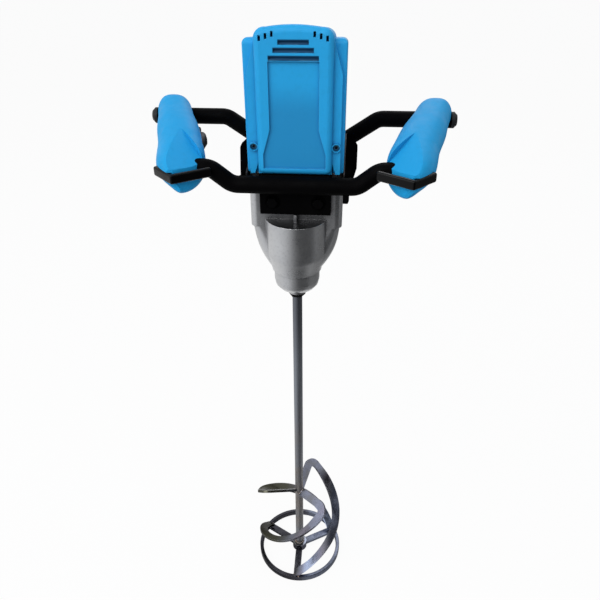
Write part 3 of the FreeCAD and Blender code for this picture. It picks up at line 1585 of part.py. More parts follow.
def make_frame_bolts():
    """The hexagon bolts that hold the front and rear plates."""
    walls = (("front_bolts", -front_plate_face, ALONG_Y, AGAINST_Y),
             ("rear_bolts", rear_plate_face, AGAINST_Y, ALONG_Y))
    for label, face, inward, outward in walls:
        bolts = []
        for side, sign in SIDES:
            x = S.bolt_span if sign > 0 else -S.bolt_span
            shank = cylinder(f"{label}_{side}_shank", S.bolt_diameter / 2,
                             S.plate_thickness + S.bolt_depth, x, face, bolt_height, inward)
            head = doc.addObject("Part::Prism", f"{label}_{side}_head")
            head.Polygon = 6
            bind(head, Circumradius=S.bolt_head_diameter / 2, Height=S.bolt_head_height)
            place(head, x, face, bolt_height, outward)
            bolts.append(fuse(f"{label}_{side}", shank, head))
        group(label, bolts)


def grip_station(index):
    """The middle, width and height of one section of the right grip."""
    along, shift, fall, width, height = GRIP_SHARES[index]
    middle = Vector(float(S.grip_offset - S.grip_toe * shift),
                    float(grip_back - grip_length * along),
                    float(grip_back_level - grip_fall * fall))
    return middle, float(S.grip_width) * width, float(S.grip_depth) * height


def grip_wire(index):
    """One rounded section of the right grip."""
    middle, width, height = grip_station(index)
    count = 12
    points = []
    for step in range(count):
        angle = 2 * math.pi * step / count
        across = math.copysign(abs(math.cos(angle)) ** GRIP_CORNER_SHARE, math.cos(angle))
        up = math.copysign(abs(math.sin(angle)) ** GRIP_CORNER_SHARE, math.sin(angle))
        below = min(0, up)
        half_width = width / 2 * (1 + GRIP_KEEL_SHARE * below)
        lean = float(S.grip_lean) * below
        points.append(middle + Vector(across * half_width + lean, 0, up * height / 2))
    curve = Part.BSplineCurve()
    curve.interpolate(points, PeriodicFlag=True)
    return Part.Wire(curve.toShape())


def grip_facet():
    """The space over the flat facet on the top of the right grip's prow."""
    corners = []
    for index, side, height in FACET_SHARES:
        middle, width, depth = grip_station(index)
        corners.append(middle + Vector(side * width, 0, height * depth))
    apex, inner, prow = corners
    spread = (apex - inner) * FACET_SPREAD_SHARE
    ahead = (prow - apex) * (1 + FACET_SPREAD_SHARE)
    points = [apex + spread, inner - spread, inner - spread + ahead, apex + spread + ahead]
    return prism(Part.makePolygon(points + points[:1]), Vector(0, 0, float(S.grip_depth)))


def strap(thickness, height, spread):
    """The bent strap round the right grip's prow, grown by a spread on every face."""
    inner = [
        Vector(float(yoke_start), -float(front_tube_depth + tube_radius + S.weld_gap), 0),
        Vector(float(yoke_vertex), -float(yoke_vertex_reach), 0),
        Vector(float(yoke_end), -float(yoke_end_reach), 0),
    ]
    first = (inner[1] - inner[0]).normalize()
    second = (inner[2] - inner[1]).normalize()
    normals = [Vector(first.y, -first.x, 0), Vector(second.y, -second.x, 0)]
    corner = (normals[0] + normals[1]).normalize()
    stretch = 1 / corner.dot(normals[0])
    shifts = [normals[0], corner * stretch, normals[1]]
    near = [point - shift * spread for point, shift in zip(inner, shifts)]
    far = [point + shift * (thickness + spread) for point, shift in zip(inner, shifts)]
    outline = near + far[::-1]
    low = float(front_tube_top) - height / 2 - spread
    points = [Vector(point.x, point.y, low) for point in outline]
    return prism(Part.makePolygon(points + points[:1]), Vector(0, 0, height + spread * 2))


def grip_seam():
    """A tall block on the outer side of the right grip's seam plane."""
    back = grip_station(1)[0]
    prow = Vector(float(yoke_vertex), -float(yoke_vertex_reach), 0)
    along = Vector(back.x - prow.x, back.y - prow.y, 0).normalize()
    reach = float(grip_length)
    start = Vector(prow.x, prow.y, 0) - along * reach
    end = start + along * reach * 3
    outward = Vector(along.y, -along.x, 0) * reach
    points = [start, end, end + outward, start + outward]
    floor = float(grip_back_level) - reach
    points = [Vector(point.x, point.y, floor) for point in points]
    return prism(Part.makePolygon(points + points[:1]), Vector(0, 0, reach * 2))


def grip_screw_places():
    """The heads' outer ends of the right grip's screws."""
    spots = []
    for along in GRIP_SCREW_SHARES:
        lower = max(i for i, row in enumerate(GRIP_SHARES) if row[0] <= along)
        first, first_width, _ = grip_station(lower)
        second, second_width, _ = grip_station(lower + 1)
        share = (along - GRIP_SHARES[lower][0]) / (GRIP_SHARES[lower + 1][0] - GRIP_SHARES[lower][0])
        middle = first + (second - first) * share
        width = first_width + (second_width - first_width) * share
        spots.append(middle + Vector(width / 2 - float(S.grip_screw_sink), 0, 0))
    return spots


def make_grips():
    """Both grips: each an inner and an outer half on the tubes, with its strap and screws."""
    whole = Part.makeLoft([grip_wire(i) for i in range(len(GRIP_SHARES))], True, False)
    seat = float(S.seat_fit)
    whole = whole.cut(grip_facet())
    whole = whole.cut(strap(float(S.yoke_thickness), float(S.yoke_height), seat))
    front = bent_bar(front_tube_points(front_tube_end + S.seat_fit), tube_radius + S.seat_fit)
    back = Part.makeCylinder(float(tube_radius) + seat,
                             float(S.grip_offset) * 2,
                             Vector(0, float(rear_tube_depth), float(rear_tube_top)),
                             Vector(1, 0, 0))
    whole = whole.cut(front).cut(back)
    screws = []
    for spot in grip_screw_places():
        shank = Part.makeCylinder(float(S.grip_screw_diameter) / 2, float(S.grip_screw_length),
                                  spot, Vector(-1, 0, 0))
        head = Part.makeCylinder(float(S.grip_screw_head) / 2, float(S.grip_screw_sink) / 2,
                                 spot, Vector(1, 0, 0))
        whole = whole.cut(Part.makeCylinder(float(S.grip_screw_diameter) / 2 + seat,
                                            float(S.grip_screw_length) + seat, spot,
                                            Vector(-1, 0, 0)))
        whole = whole.cut(Part.makeCylinder(float(S.grip_screw_head) / 2 + seat,
                                            float(S.grip_width), spot, Vector(1, 0, 0)))
        screws.append(solid_of(shank.fuse(head)))
    seam = grip_seam()
    outer = solid_of(whole.common(seam))
    inner = solid_of(whole.cut(seam))
    yoke = strap(float(S.yoke_thickness), float(S.yoke_height), 0.0)
    mirror = (SPINDLE, Vector(1, 0, 0))
    shaped("right_grip_inner", inner)
    shaped("right_grip_outer", outer)
    shaped("right_yoke", solid_of(yoke))
    left_inner = inner.mirror(*mirror)
    for tool in switch_pockets():
        left_inner = left_inner.cut(tool)
    shaped("left_grip_inner", solid_of(left_inner))
    shaped("left_grip_outer", solid_of(outer.mirror(*mirror)))
    shaped("left_yoke", solid_of(yoke.mirror(*mirror)))
    mirrored = [screw.mirror(*mirror) for screw in screws]
    shaped("grip_screws", Part.makeCompound(screws + mirrored))


def switch_room():
    """The chamber for the switch behind the trigger, as two opposite corners."""
    inner = trigger_face + S.trigger_depth + S.trigger_travel + S.switch_gap
    half_length = S.switch_length / 2
    half_height = S.switch_height / 2
    low = (-inner - S.switch_depth, trigger_middle - half_length, trigger_level - half_height)
    high = (-inner, trigger_middle + half_length, trigger_level + half_height)
    return low, high


def switch_pockets():
    """The pockets in the left grip's inner half for the trigger, switch, button and dial."""
    fit = S.slide_fit
    low, high = switch_room()
    seat = S.seat_fit
    half_length = S.trigger_length / 2 + fit
    half_height = S.trigger_height / 2 + fit
    trigger = box_between(
        (high[0] - seat, trigger_middle - half_length, trigger_level - half_height),
        (-trigger_face + S.grip_width, trigger_middle + half_length,
         trigger_level + half_height))
    switch = box_between([value - seat for value in low], [value + seat for value in high])
    button_base = Vector(-float(button_face + S.button_length + S.button_travel + fit),
                         float(button_middle), float(button_level))
    button = Part.makeCylinder(float(S.button_diameter / 2 + fit), float(S.grip_width),
                               button_base, Vector(1, 0, 0))
    dial_axis = Vector(-float(dial_offset), float(dial_middle), 0)
    dial = bar_at(S.dial_diameter / 2 + fit, dial_level - S.dial_thickness / 2 - fit,
                  dial_level + S.dial_thickness / 2 + fit, dial_axis)
    half_pin = S.dial_thickness
    axle = bar_at(S.dial_pin_diameter / 2 + S.press_fit, dial_level - half_pin,
                  dial_level + half_pin, dial_axis)
    return [trigger, switch, button, dial, axle]


def make_switchgear():
    """The trigger, its switch, the lock-on button and the speed dial in the left grip."""
    half_length = S.trigger_length / 2
    half_height = S.trigger_height / 2
    trigger = box_between(
        (-trigger_face - S.trigger_depth, trigger_middle - half_length,
         trigger_level - half_height),
        (-trigger_face, trigger_middle + half_length, trigger_level + half_height))
    face = -float(trigger_face)
    front = [edge for edge in trigger.Edges
             if all(abs(vertex.X - face) < TOLERANCE for vertex in edge.Vertexes)]
    shaped("trigger", solid_of(trigger.makeFillet(float(S.trigger_round), front)))
    low, high = switch_room()
    keep(block("switch_module", high[0] - low[0], high[1] - low[1], high[2] - low[2], *low))
    button = cylinder("button_bar", S.button_diameter / 2, S.button_length,
                      -button_face - S.button_length, button_middle, button_level, ALONG_X)
    doc.recompute()
    rounded = doc.addObject("Part::Fillet", "lock_button")
    rounded.Base = button
    face_edge = next(i for i, edge in enumerate(button.Shape.Edges, 1)
                     if edge.Closed and abs(edge.CenterOfMass.x + float(button_face)) < TOLERANCE)
    round_size = float(S.button_diameter) * BUTTON_ROUND_SHARE
    rounded.Edges = [(face_edge, round_size, round_size)]
    keep(rounded)
    make_dial()


def make_dial():
    """The notched speed dial and the pin that it turns on."""
    axis = Vector(-float(dial_offset), float(dial_middle), 0)
    low = dial_level - S.dial_thickness / 2
    high = dial_level + S.dial_thickness / 2
    dial = bar_at(S.dial_diameter / 2, low, high, axis)
    dial = dial.cut(bar_at(S.dial_pin_diameter / 2 + S.running_fit, low - S.overrun,
                           high + S.overrun, axis))
    count = int(float(S.dial_notch_count))
    for index in range(count):
        angle = 2 * math.pi * index / count
        reach = float(S.dial_diameter) / 2 + float(S.dial_notch) / 4
        spot = axis + Vector(math.cos(angle) * reach, math.sin(angle) * reach, 0)
        dial = dial.cut(bar_at(S.dial_notch / 2, low - S.overrun, high + S.overrun, spot))
    shaped("speed_dial", solid_of(dial))
    pin_half = S.dial_thickness - S.seat_fit
    keep(cylinder("dial_pin", S.dial_pin_diameter / 2, pin_half * 2,
                  -dial_offset, dial_middle, dial_level - pin_half))


def build():
    """Make every sub-part."""
    make_stirrer_ring()
    make_stirrer_spider()
    make_blades()
    make_stirrer_shaft()
    make_spindle()
    make_bearings()
    make_gears()
    make_armature()
    make_stator()
    make_brushes()
    make_gear_case()
    make_bearing_plate()
    make_rear_housing()
    make_front_cover()
    make_housing_screws()
    make_cover_screws()
    make_gland()
    make_tubes()
    make_frame_plates()
    make_frame_bolts()
    make_grips()
    make_switchgear()
    doc.recompute()


def check_and_write():
    """Stop on any failed object or bad shape, then write one file for each sub-part."""
    for item in doc.Objects:
        if "Invalid" in item.State or "Error" in item.State:
            raise RuntimeError(f"{item.Label} failed: {item.State}")
    for piece in pieces:
        if piece.Shape.isNull() or not piece.Shape.isValid() or not piece.Shape.Solids:
            raise RuntimeError(f"{piece.Label} has no valid solid")
    os.makedirs("parts", exist_ok=True)
    for piece in pieces:
        piece.Shape.exportStep(os.path.join("parts", piece.Label + ".step"))


build()
check_and_write()
print(f"{len(pieces)} sub-parts, {sum(len(piece.Shape.Solids) for piece in pieces)} solids")
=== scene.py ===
"""The looks of a two-handed mixing drill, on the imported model's own frame.

Metres; sizes in millimetres are multiplied by MM. +Z is up, and the machine's front faces -Y.
"""
import json
import math

import bmesh
import bpy
from mathutils import Matrix, Vector


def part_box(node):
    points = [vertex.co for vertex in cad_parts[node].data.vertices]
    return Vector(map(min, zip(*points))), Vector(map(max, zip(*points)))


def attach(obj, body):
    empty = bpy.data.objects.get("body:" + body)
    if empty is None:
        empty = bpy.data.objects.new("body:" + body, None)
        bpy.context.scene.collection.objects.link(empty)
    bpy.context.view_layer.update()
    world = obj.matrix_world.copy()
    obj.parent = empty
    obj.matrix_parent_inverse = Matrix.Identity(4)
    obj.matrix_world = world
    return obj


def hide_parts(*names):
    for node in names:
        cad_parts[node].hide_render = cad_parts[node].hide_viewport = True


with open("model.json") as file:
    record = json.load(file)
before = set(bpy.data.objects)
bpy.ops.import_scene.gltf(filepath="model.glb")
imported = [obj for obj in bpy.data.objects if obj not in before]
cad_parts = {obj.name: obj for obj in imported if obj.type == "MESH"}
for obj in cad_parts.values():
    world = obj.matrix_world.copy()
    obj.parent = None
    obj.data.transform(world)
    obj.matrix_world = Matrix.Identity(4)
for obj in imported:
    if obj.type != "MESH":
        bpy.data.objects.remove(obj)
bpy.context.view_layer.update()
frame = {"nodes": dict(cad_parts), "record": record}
SLOT_OF = {row["node"]: row["material_slot"] for row in frame["record"]["subparts"]}
BODY_OF = {node: body for body, nodes in frame["record"]["behaviour"]["bodies"].items()
           for node in nodes}
MM = 0.001


class Nodes:
    """Short ways to add nodes to a tree and to link them."""

    def __init__(self, tree):
        self.tree = tree

    def feed(self, socket, source):
        """Link a source to a socket, or set the socket to a plain value."""
        if isinstance(source, bpy.types.NodeSocket):
            self.tree.links.new(source, socket)
        else:
            socket.default_value = source

    def add(self, kind, feeds=None, **settings):
        """A new node with its settings and what feeds its sockets."""
        node = self.tree.nodes.new(kind)
        for name, value in settings.items():
            setattr(node, name, value)
        for socket, source in (feeds or {}).items():
            self.feed(node.inputs[socket], source)
        return node

    def maths(self, operation, first, second=0.0):
        """One sum on values."""
        return self.add("ShaderNodeMath", {0: first, 1: second}, operation=operation).outputs[0]

    def product(self, first, *others):
        """Values multiplied together."""
        for other in others:
            first = self.maths("MULTIPLY", first, other)
        return first

    def axes(self, vector):
        """The three coordinates of a vector."""
        return self.add("ShaderNodeSeparateXYZ", {0: vector}).outputs

    def between(self, value, low, high, at_low=0.0, at_high=1.0):
        """A value carried from one range to another, smoothly and clamped."""
        feeds = dict(enumerate((value, low, high, at_low, at_high)))
        return self.add("ShaderNodeMapRange", feeds, interpolation_type="SMOOTHSTEP").outputs[0]


class Finish(Nodes):
    """A material with its shader, and short ways to add detail to it."""

    def __init__(self, name, colour, roughness, metallic=0.0):
        self.material = bpy.data.materials.new(name)
        self.material.use_nodes = True
        super().__init__(self.material.node_tree)
        self.shader = self.tree.nodes["Principled BSDF"]
        self.set("Base Color", (*colour, 1.0))
        self.set("Roughness", roughness)
        self.set("Metallic", metallic)
        self.place = self.add("ShaderNodeTexCoord").outputs["Object"]
        self.colour = None
        self.normal = None

    def set(self, socket, value):
        """Give the shader one value that is the same all over."""
        self.shader.inputs[socket].default_value = value

    def noise(self, scale, detail=3.0, stretch=None):
        """Noise over the piece, from 0 to 1, with so many features to the metre."""
        place = self.place
        if stretch:
            mapping = self.add("ShaderNodeMapping", {"Scale": stretch, "Vector": place})
            place = mapping.outputs["Vector"]
        feeds = {"Vector": place, "Scale": scale, "Detail": detail}
        return self.add("ShaderNodeTexNoise", feeds).outputs["Fac"]

    def tint(self, share, colour):
        """Carry the colour towards another by a share that varies over the piece."""
        base = self.colour or tuple(self.shader.inputs["Base Color"].default_value)
        feeds = {0: share, 6: base, 7: (*colour, 1.0)}
        self.colour = self.add("ShaderNodeMix", feeds, data_type="RGBA").outputs[2]
        self.feed(self.shader.inputs["Base Color"], self.colour)

    def patches(self, noise, low, high, most, colour):
        """Tint the places where a noise is high, by a share of most at the highest."""
        self.tint(self.between(noise, low, high, 0.0, most), colour)

    def vary_roughness(self, value, low, high):
        """Roughness between two values."""
        self.feed(self.shader.inputs["Roughness"], self.between(value, 0.3, 0.7, low, high))

    def shade_by(self, normal):
        """Shade the piece by another normal than its own."""
        self.normal = normal
        self.feed(self.shader.inputs["Normal"], normal)

    def round_edges(self, radius):
        """Soften sharp edges in the shading, and give the share of each place that is an edge."""
        self.shade_by(self.add("ShaderNodeBevel", {"Radius": radius}, samples=4).outputs["Normal"])
        true_normal = self.add("ShaderNodeNewGeometry").outputs["Normal"]
        dot = self.add("ShaderNodeVectorMath", {0: self.normal, 1: true_normal},
                       operation="DOT_PRODUCT")
        return self.between(dot.outputs["Value"], 0.99, 0.80)

    def bump(self, height, depth, strength=1.0):
        """Raise or sink the surface by a height that varies over the piece."""
        feeds = {"Strength": strength, "Distance": depth, "Height": height}
        if self.normal is not None:
            feeds["Normal"] = self.normal
        self.shade_by(self.add("ShaderNodeBump", feeds).outputs["Normal"])

    def upward(self):
        """How far each place looks up, from -1 to 1."""
        return self.axes(self.add("ShaderNodeNewGeometry").outputs["Normal"])["Z"]

    def hollows(self, reach, alone=True):
        """The share of each place that lies in a corner or hollow, or near other pieces too."""
        node = self.add("ShaderNodeAmbientOcclusion", {"Distance": reach}, samples=4,
                        only_local=alone)
        return self.between(node.outputs["AO"], 0.95, 0.45)


SHELL_BLUE = (0.019, 0.36, 0.74)
GRIP_BLUE = (0.017, 0.338, 0.70)

# Where the cover's painted shades begin and end, each as the two ends of a soft step.
PANEL_DEPTH = (-20.1 * MM, -19.8 * MM)
PANEL_SIDE = (36.0 * MM, 36.5 * MM)
PANEL_FADE = (812.0 * MM, 772.0 * MM)
SLOT_MOUTH = (-21.9 * MM, -21.4 * MM)
SLOT_BACK = (-13.5 * MM, -14.0 * MM)
SLOT_SIDE = (29.0 * MM, 29.5 * MM)
SLOT_FOOT = (828.5 * MM, 829.0 * MM)
SLOT_HEAD = (852.0 * MM, 851.5 * MM)


def times(colour, share):
    """A colour made lighter or darker."""
    return tuple(share * value for value in colour)


def paint_cover_shade(finish):
    """Painted shade on the cover: its lower panel darker towards the bottom, the depth of its slots
    dark, and its corners darker.
    """
    x, y, z = finish.axes(finish.place)
    aside = finish.maths("ABSOLUTE", x)
    panel = finish.product(finish.between(y, *PANEL_DEPTH),
                           finish.between(aside, *PANEL_SIDE, 1.0, 0.0),
                           finish.between(z, *PANEL_FADE))
    # Painted shade: the lower panel darker towards its bottom.
    finish.tint(finish.product(panel, 0.75), (0.016, 0.235, 0.51))
    # Painted shade: the walls inside the air slots, and the slats in them, tinted dark navy.
    slots = finish.product(finish.between(y, *SLOT_MOUTH), finish.between(y, *SLOT_BACK),
                           finish.between(aside, *SLOT_SIDE, 1.0, 0.0),
                           finish.between(z, *SLOT_FOOT), finish.between(z, *SLOT_HEAD))
    finish.tint(slots, (0.012, 0.060, 0.140))
    # Painted shade in the cover's corners and hollows.
    finish.tint(finish.product(finish.hollows(10 * MM), 0.45), (0.010, 0.16, 0.38))


def moulded_blue(name, colour=SHELL_BLUE, round_size=0.9 * MM, shine=0.2, cover=False):
    """Moulded blue shell with a fine spark-eroded grain, worn pale on its edges, with painted shade
    in its hollows and, for the cover, painted shade on its lower panel and in its slots.
    """
    finish = Finish(name, colour, 0.45)
    finish.set("Specular IOR Level", shine)
    finish.patches(finish.noise(11.0), 0.35, 0.7, 0.55, times(colour, 1.09))
    finish.patches(finish.noise(160.0, 5.0), 0.45, 0.75, 0.3, times(colour, 0.86))
    if cover:
        paint_cover_shade(finish)
    edge = finish.round_edges(round_size)
    worn = finish.product(edge, finish.between(finish.noise(55.0, 6.0), 0.42, 0.62))
    finish.tint(finish.product(worn, 0.5), (0.13, 0.47, 0.82))
    # Painted shade in small hollows and corners.
    finish.tint(finish.product(finish.hollows(3.5 * MM), 0.25), (0.008, 0.14, 0.34))
    finish.vary_roughness(finish.noise(75.0, 4.0), 0.40, 0.54)
    finish.bump(finish.noise(1500.0, 2.0), 0.06 * MM, 0.7)
    return finish.material


def powder_black(name, shine, roughest):
    """Black powder coat with a slight orange peel, thin on its edges."""
    finish = Finish(name, (0.0012, 0.0011, 0.0013), roughest)
    finish.set("Specular IOR Level", shine)
    finish.patches(finish.noise(38.0, 5.0), 0.5, 0.75, 0.6, (0.0025, 0.0024, 0.0027))
    edge = finish.round_edges(0.9 * MM)
    worn = finish.product(edge, finish.between(finish.noise(120.0, 6.0), 0.5, 0.66))
    finish.tint(finish.product(worn, 0.2), (0.03, 0.03, 0.032))
    finish.vary_roughness(finish.noise(60.0, 3.0), roughest - 0.18, roughest)
    finish.bump(finish.noise(650.0, 2.0), 0.10 * MM, 0.6)
    return finish.material


def cast_aluminium():
    """Blasted die casting, with a painted dark reflection on its upward faces, painted shade in its
    corners and near other pieces, and painted highlights on its edges.
    """
    finish = Finish("cast_aluminium", (0.46, 0.465, 0.475), 0.40, 0.92)
    finish.patches(finish.noise(26.0, 5.0), 0.4, 0.7, 0.6, (0.54, 0.545, 0.555))
    finish.patches(finish.noise(300.0, 4.0), 0.5, 0.72, 0.3, (0.27, 0.275, 0.285))
    # Painted dark reflection on the faces that look up.
    finish.patches(finish.upward(), 0.35, 0.75, 0.9, (0.10, 0.10, 0.106))
    # Painted highlight along the edges.
    edge = finish.round_edges(0.8 * MM)
    finish.tint(finish.product(edge, 0.6), (0.68, 0.69, 0.70))
    # Painted shade in corners and where other pieces come near.
    finish.tint(finish.product(finish.hollows(10 * MM, alone=False), 0.8), (0.10, 0.10, 0.105))
    finish.vary_roughness(finish.noise(45.0, 4.0), 0.26, 0.38)
    finish.bump(finish.noise(900.0, 3.0), 0.06 * MM, 0.7)
    return finish.material


def stirrer_steel():
    """Plated flat bar, dulled by use, with the blue, lilac and straw tints of welding heat, paler
    and bluer low just right of the middle and darker low down, with a painted dark reflection on
    the right blade and painted highlights on its edges.
    """
    finish = Finish("stirrer_steel", (0.21, 0.215, 0.24), 0.30, 1.0)
    finish.set("Specular Tint", (0.45, 0.45, 0.45, 1.0))
    x, _, z = finish.axes(finish.place)
    finish.patches(finish.noise(21.0, 3.0), 0.44, 0.60, 0.8, (0.27, 0.29, 0.39))
    finish.patches(finish.noise(17.0, 2.0, (1.0, 1.4, 0.8)), 0.54, 0.68, 0.7, (0.29, 0.26, 0.34))
    wavering_x = finish.maths("ADD", x, finish.product(finish.noise(40.0), 30 * MM))
    finish.patches(wavering_x, 40 * MM, -20 * MM, 0.95, (0.066, 0.064, 0.040))
    brown = finish.product(finish.between(x, 12 * MM, -22 * MM),
                           finish.between(z, 85 * MM, 60 * MM))
    finish.tint(finish.product(brown, 0.9), (0.022, 0.021, 0.012))
    pale = finish.product(finish.between(x, 6 * MM, 18 * MM), finish.between(z, 50 * MM, 34 * MM))
    finish.tint(finish.product(pale, 0.9), (0.52, 0.61, 0.84))
    # Painted dark reflection on the middle of the right blade.
    dark_reflection = finish.product(finish.between(x, 40 * MM, 56 * MM), finish.between(z, 45 * MM, 66 * MM),
                           finish.between(z, 138 * MM, 118 * MM))
    finish.tint(finish.product(dark_reflection, 0.93), (0.012, 0.015, 0.025))
    finish.patches(finish.noise(420.0, 4.0), 0.52, 0.75, 0.45, (0.09, 0.09, 0.10))
    foot = finish.between(z, 16 * MM, 10 * MM)
    finish.tint(finish.product(foot, 0.85), (0.034, 0.034, 0.042))
    # Painted highlight along the edges.
    edge = finish.round_edges(0.6 * MM)
    finish.tint(finish.product(edge, 0.6), (0.50, 0.51, 0.54))
    finish.vary_roughness(finish.noise(130.0, 5.0), 0.16, 0.36)
    finish.bump(finish.noise(700.0, 3.0, (1.0, 1.0, 0.12)), 0.06 * MM, 0.8)
    return finish.material


def shaft_steel():
    """Drawn round rod, straw-brown low down and dark near the spindle, with streaks along it."""
    finish = Finish("shaft_steel", (0.25, 0.268, 0.30), 0.34, 1.0)
    _, _, z = finish.axes(finish.place)
    low = finish.between(z, 420 * MM, 120 * MM)
    patch = finish.between(finish.noise(30.0, 4.0), 0.4, 0.6, 0.3, 1.0)
    finish.tint(finish.product(low, patch, 0.7), (0.28, 0.24, 0.205))
    finish.patches(z, 400 * MM, 520 * MM, 0.6, (0.085, 0.09, 0.105))
    streaks = finish.noise(90.0, 4.0, (1.0, 1.0, 0.05))
    finish.patches(streaks, 0.5, 0.7, 0.5, (0.13, 0.137, 0.15))
    finish.round_edges(0.4 * MM)
    finish.vary_roughness(finish.noise(200.0, 3.0, (1.0, 1.0, 0.04)), 0.50, 0.66)
    finish.bump(finish.noise(900.0, 2.0, (1.0, 1.0, 0.03)), 0.04 * MM, 0.6)
    return finish.material


def weld_metal():
    """Weld bead, grey-brown with straw and blue patches."""
    finish = Finish("weld_metal", (0.30, 0.27, 0.25), 0.4, 1.0)
    finish.patches(finish.noise(240.0, 3.0), 0.45, 0.65, 1.0, (0.26, 0.17, 0.10))
    finish.patches(finish.noise(170.0, 3.0), 0.55, 0.7, 0.8, (0.42, 0.44, 0.55))
    finish.vary_roughness(finish.noise(300.0, 3.0), 0.3, 0.5)
    finish.bump(finish.noise(1200.0, 3.0), 0.08 * MM)
    return finish.material


def turned_steel(name, colour, roughness):
    """Machined or ground steel with fine tool marks round its axis."""
    finish = Finish(name, colour, roughness, 1.0)
    marks = finish.noise(500.0, 3.0, (0.15, 0.15, 1.0))
    finish.patches(marks, 0.45, 0.7, 0.35, times(colour, 0.6))
    # Painted shade in hollows and corners.
    finish.tint(finish.product(finish.hollows(2 * MM), 0.6), (0.03, 0.026, 0.02))
    finish.round_edges(0.3 * MM)
    finish.vary_roughness(finish.noise(160.0, 3.0), roughness * 0.8, roughness * 1.3)
    finish.bump(marks, 0.03 * MM, 0.6)
    return finish.material


def blackened_steel():
    """Blackened screws and bolts, rubbed bright on their edges."""
    finish = Finish("blackened_steel", (0.004, 0.004, 0.0045), 0.5)
    finish.set("Specular IOR Level", 0.1)
    edge = finish.round_edges(0.4 * MM)
    finish.tint(finish.product(edge, 0.3), (0.04, 0.04, 0.042))
    finish.patches(finish.noise(260.0, 4.0), 0.5, 0.72, 0.5, (0.012, 0.012, 0.012))
    finish.vary_roughness(finish.noise(220.0, 3.0), 0.42, 0.6)
    finish.bump(finish.noise(1100.0, 2.0), 0.04 * MM, 0.6)
    return finish.material


def matt_black(name, roughness, grain):
    """Moulded black plastic or rubber with a matt grain."""
    finish = Finish(name, (0.010, 0.010, 0.011), roughness)
    finish.set("Specular IOR Level", 0.35)
    finish.patches(finish.noise(70.0, 4.0), 0.45, 0.7, 0.7, (0.020, 0.020, 0.022))
    edge = finish.round_edges(0.5 * MM)
    finish.tint(finish.product(edge, 0.4), (0.06, 0.06, 0.062))
    finish.vary_roughness(finish.noise(90.0, 3.0), roughness - 0.06, roughness + 0.08)
    finish.bump(finish.noise(grain, 2.0), 0.06 * MM, 0.8)
    return finish.material


def stacked_sheets():
    """Laminated iron: thin dark sheets one on the other."""
    finish = Finish("stacked_sheets", (0.11, 0.11, 0.115), 0.5, 0.8)
    _, _, z = finish.axes(finish.place)
    sheet = finish.maths("PINGPONG", z, 0.35 * MM)
    line = finish.between(sheet, 0.0, 0.12 * MM, 1.0, 0.0)
    finish.tint(finish.product(line, 0.8), (0.02, 0.02, 0.02))
    finish.patches(finish.noise(120.0, 4.0), 0.5, 0.7, 0.5, (0.17, 0.15, 0.13))
    finish.vary_roughness(finish.noise(200.0, 3.0), 0.42, 0.6)
    finish.bump(finish.maths("SUBTRACT", 1.0, line), 0.1 * MM)
    return finish.material


def wound_copper():
    """Enamelled copper: wires laid side by side."""
    finish = Finish("wound_copper", (0.48, 0.17, 0.065), 0.3, 0.9)
    _, _, z = finish.axes(finish.place)
    wire = finish.maths("PINGPONG", z, 0.5 * MM)
    finish.tint(finish.between(wire, 0.0, 0.2 * MM, 0.8, 0.0), (0.10, 0.03, 0.012))
    finish.patches(finish.noise(150.0, 4.0), 0.45, 0.7, 0.5, (0.30, 0.085, 0.03))
    finish.vary_roughness(finish.noise(180.0, 3.0), 0.24, 0.42)
    finish.bump(wire, 0.2 * MM)
    return finish.material


def pressed_carbon():
    """Pressed carbon, dark grey with a dull polish."""
    finish = Finish("pressed_carbon", (0.022, 0.022, 0.023), 0.55)
    finish.patches(finish.noise(500.0, 5.0), 0.5, 0.7, 0.8, (0.06, 0.06, 0.062))
    finish.vary_roughness(finish.noise(300.0, 3.0), 0.42, 0.65)
    finish.bump(finish.noise(900.0, 3.0), 0.05 * MM)
    return finish.material


FINISHES = {
    "blue_plastic": moulded_blue("moulded_blue"),
    "cast_aluminium": cast_aluminium(),
    "black_steel": powder_black("powder_black", 0.03, 0.70),
    "dark_fasteners": blackened_steel(),
    "stirrer_steel": stirrer_steel(),
    "machined_steel": turned_steel("machined_steel", (0.42, 0.42, 0.43), 0.3),
    "bearing_steel": turned_steel("ground_steel", (0.55, 0.55, 0.57), 0.2),
    "laminations": stacked_sheets(),
    "copper": wound_copper(),
    "carbon": pressed_carbon(),
    "black_plastic": matt_black("matt_black_plastic", 0.5, 1300.0),
    "black_rubber": matt_black("matt_black_rubber", 0.66, 800.0),
}
cover_blue = moulded_blue("moulded_blue_cover", cover=True)
grip_blue = moulded_blue("moulded_blue_grip", GRIP_BLUE, round_size=0.12 * MM, shine=0.08)
strap_black = powder_black("satin_black", 0.14, 0.38)
plain_black = powder_black("plain_black", 0.0, 0.75)
weld_finish = weld_metal()
screw_finish = turned_steel("blued_screw", (0.05, 0.16, 0.27), 0.45)
OWN_FINISH = {
    "front_cover": cover_blue,
    "stirrer_shaft": shaft_steel(),
    "left_yoke": strap_black, "right_yoke": strap_black,
    "left_side_plate": plain_black, "right_side_plate": plain_black,
    "front_bolts": FINISHES["black_steel"], "rear_bolts": FINISHES["black_steel"],
    "left_grip_inner": grip_blue, "left_grip_outer": grip_blue,
    "right_grip_inner": grip_blue, "right_grip_outer": grip_blue,
}


def plain_mesh(piece):
    """Turn a piece's modifiers into its plain mesh, and take them off."""
    bpy.context.view_layer.update()
    evaluated = piece.evaluated_get(bpy.context.evaluated_depsgraph_get())
    mesh = bpy.data.meshes.new_from_object(evaluated)
    piece.modifiers.clear()
    old = piece.data
    piece.data = mesh
    mesh.name = piece.name
    bpy.data.meshes.remove(old)


def linked(name, data):
    """A new object in the scene."""
    thing = bpy.data.objects.new(name, data)
    bpy.context.scene.collection.objects.link(thing)
    return thing


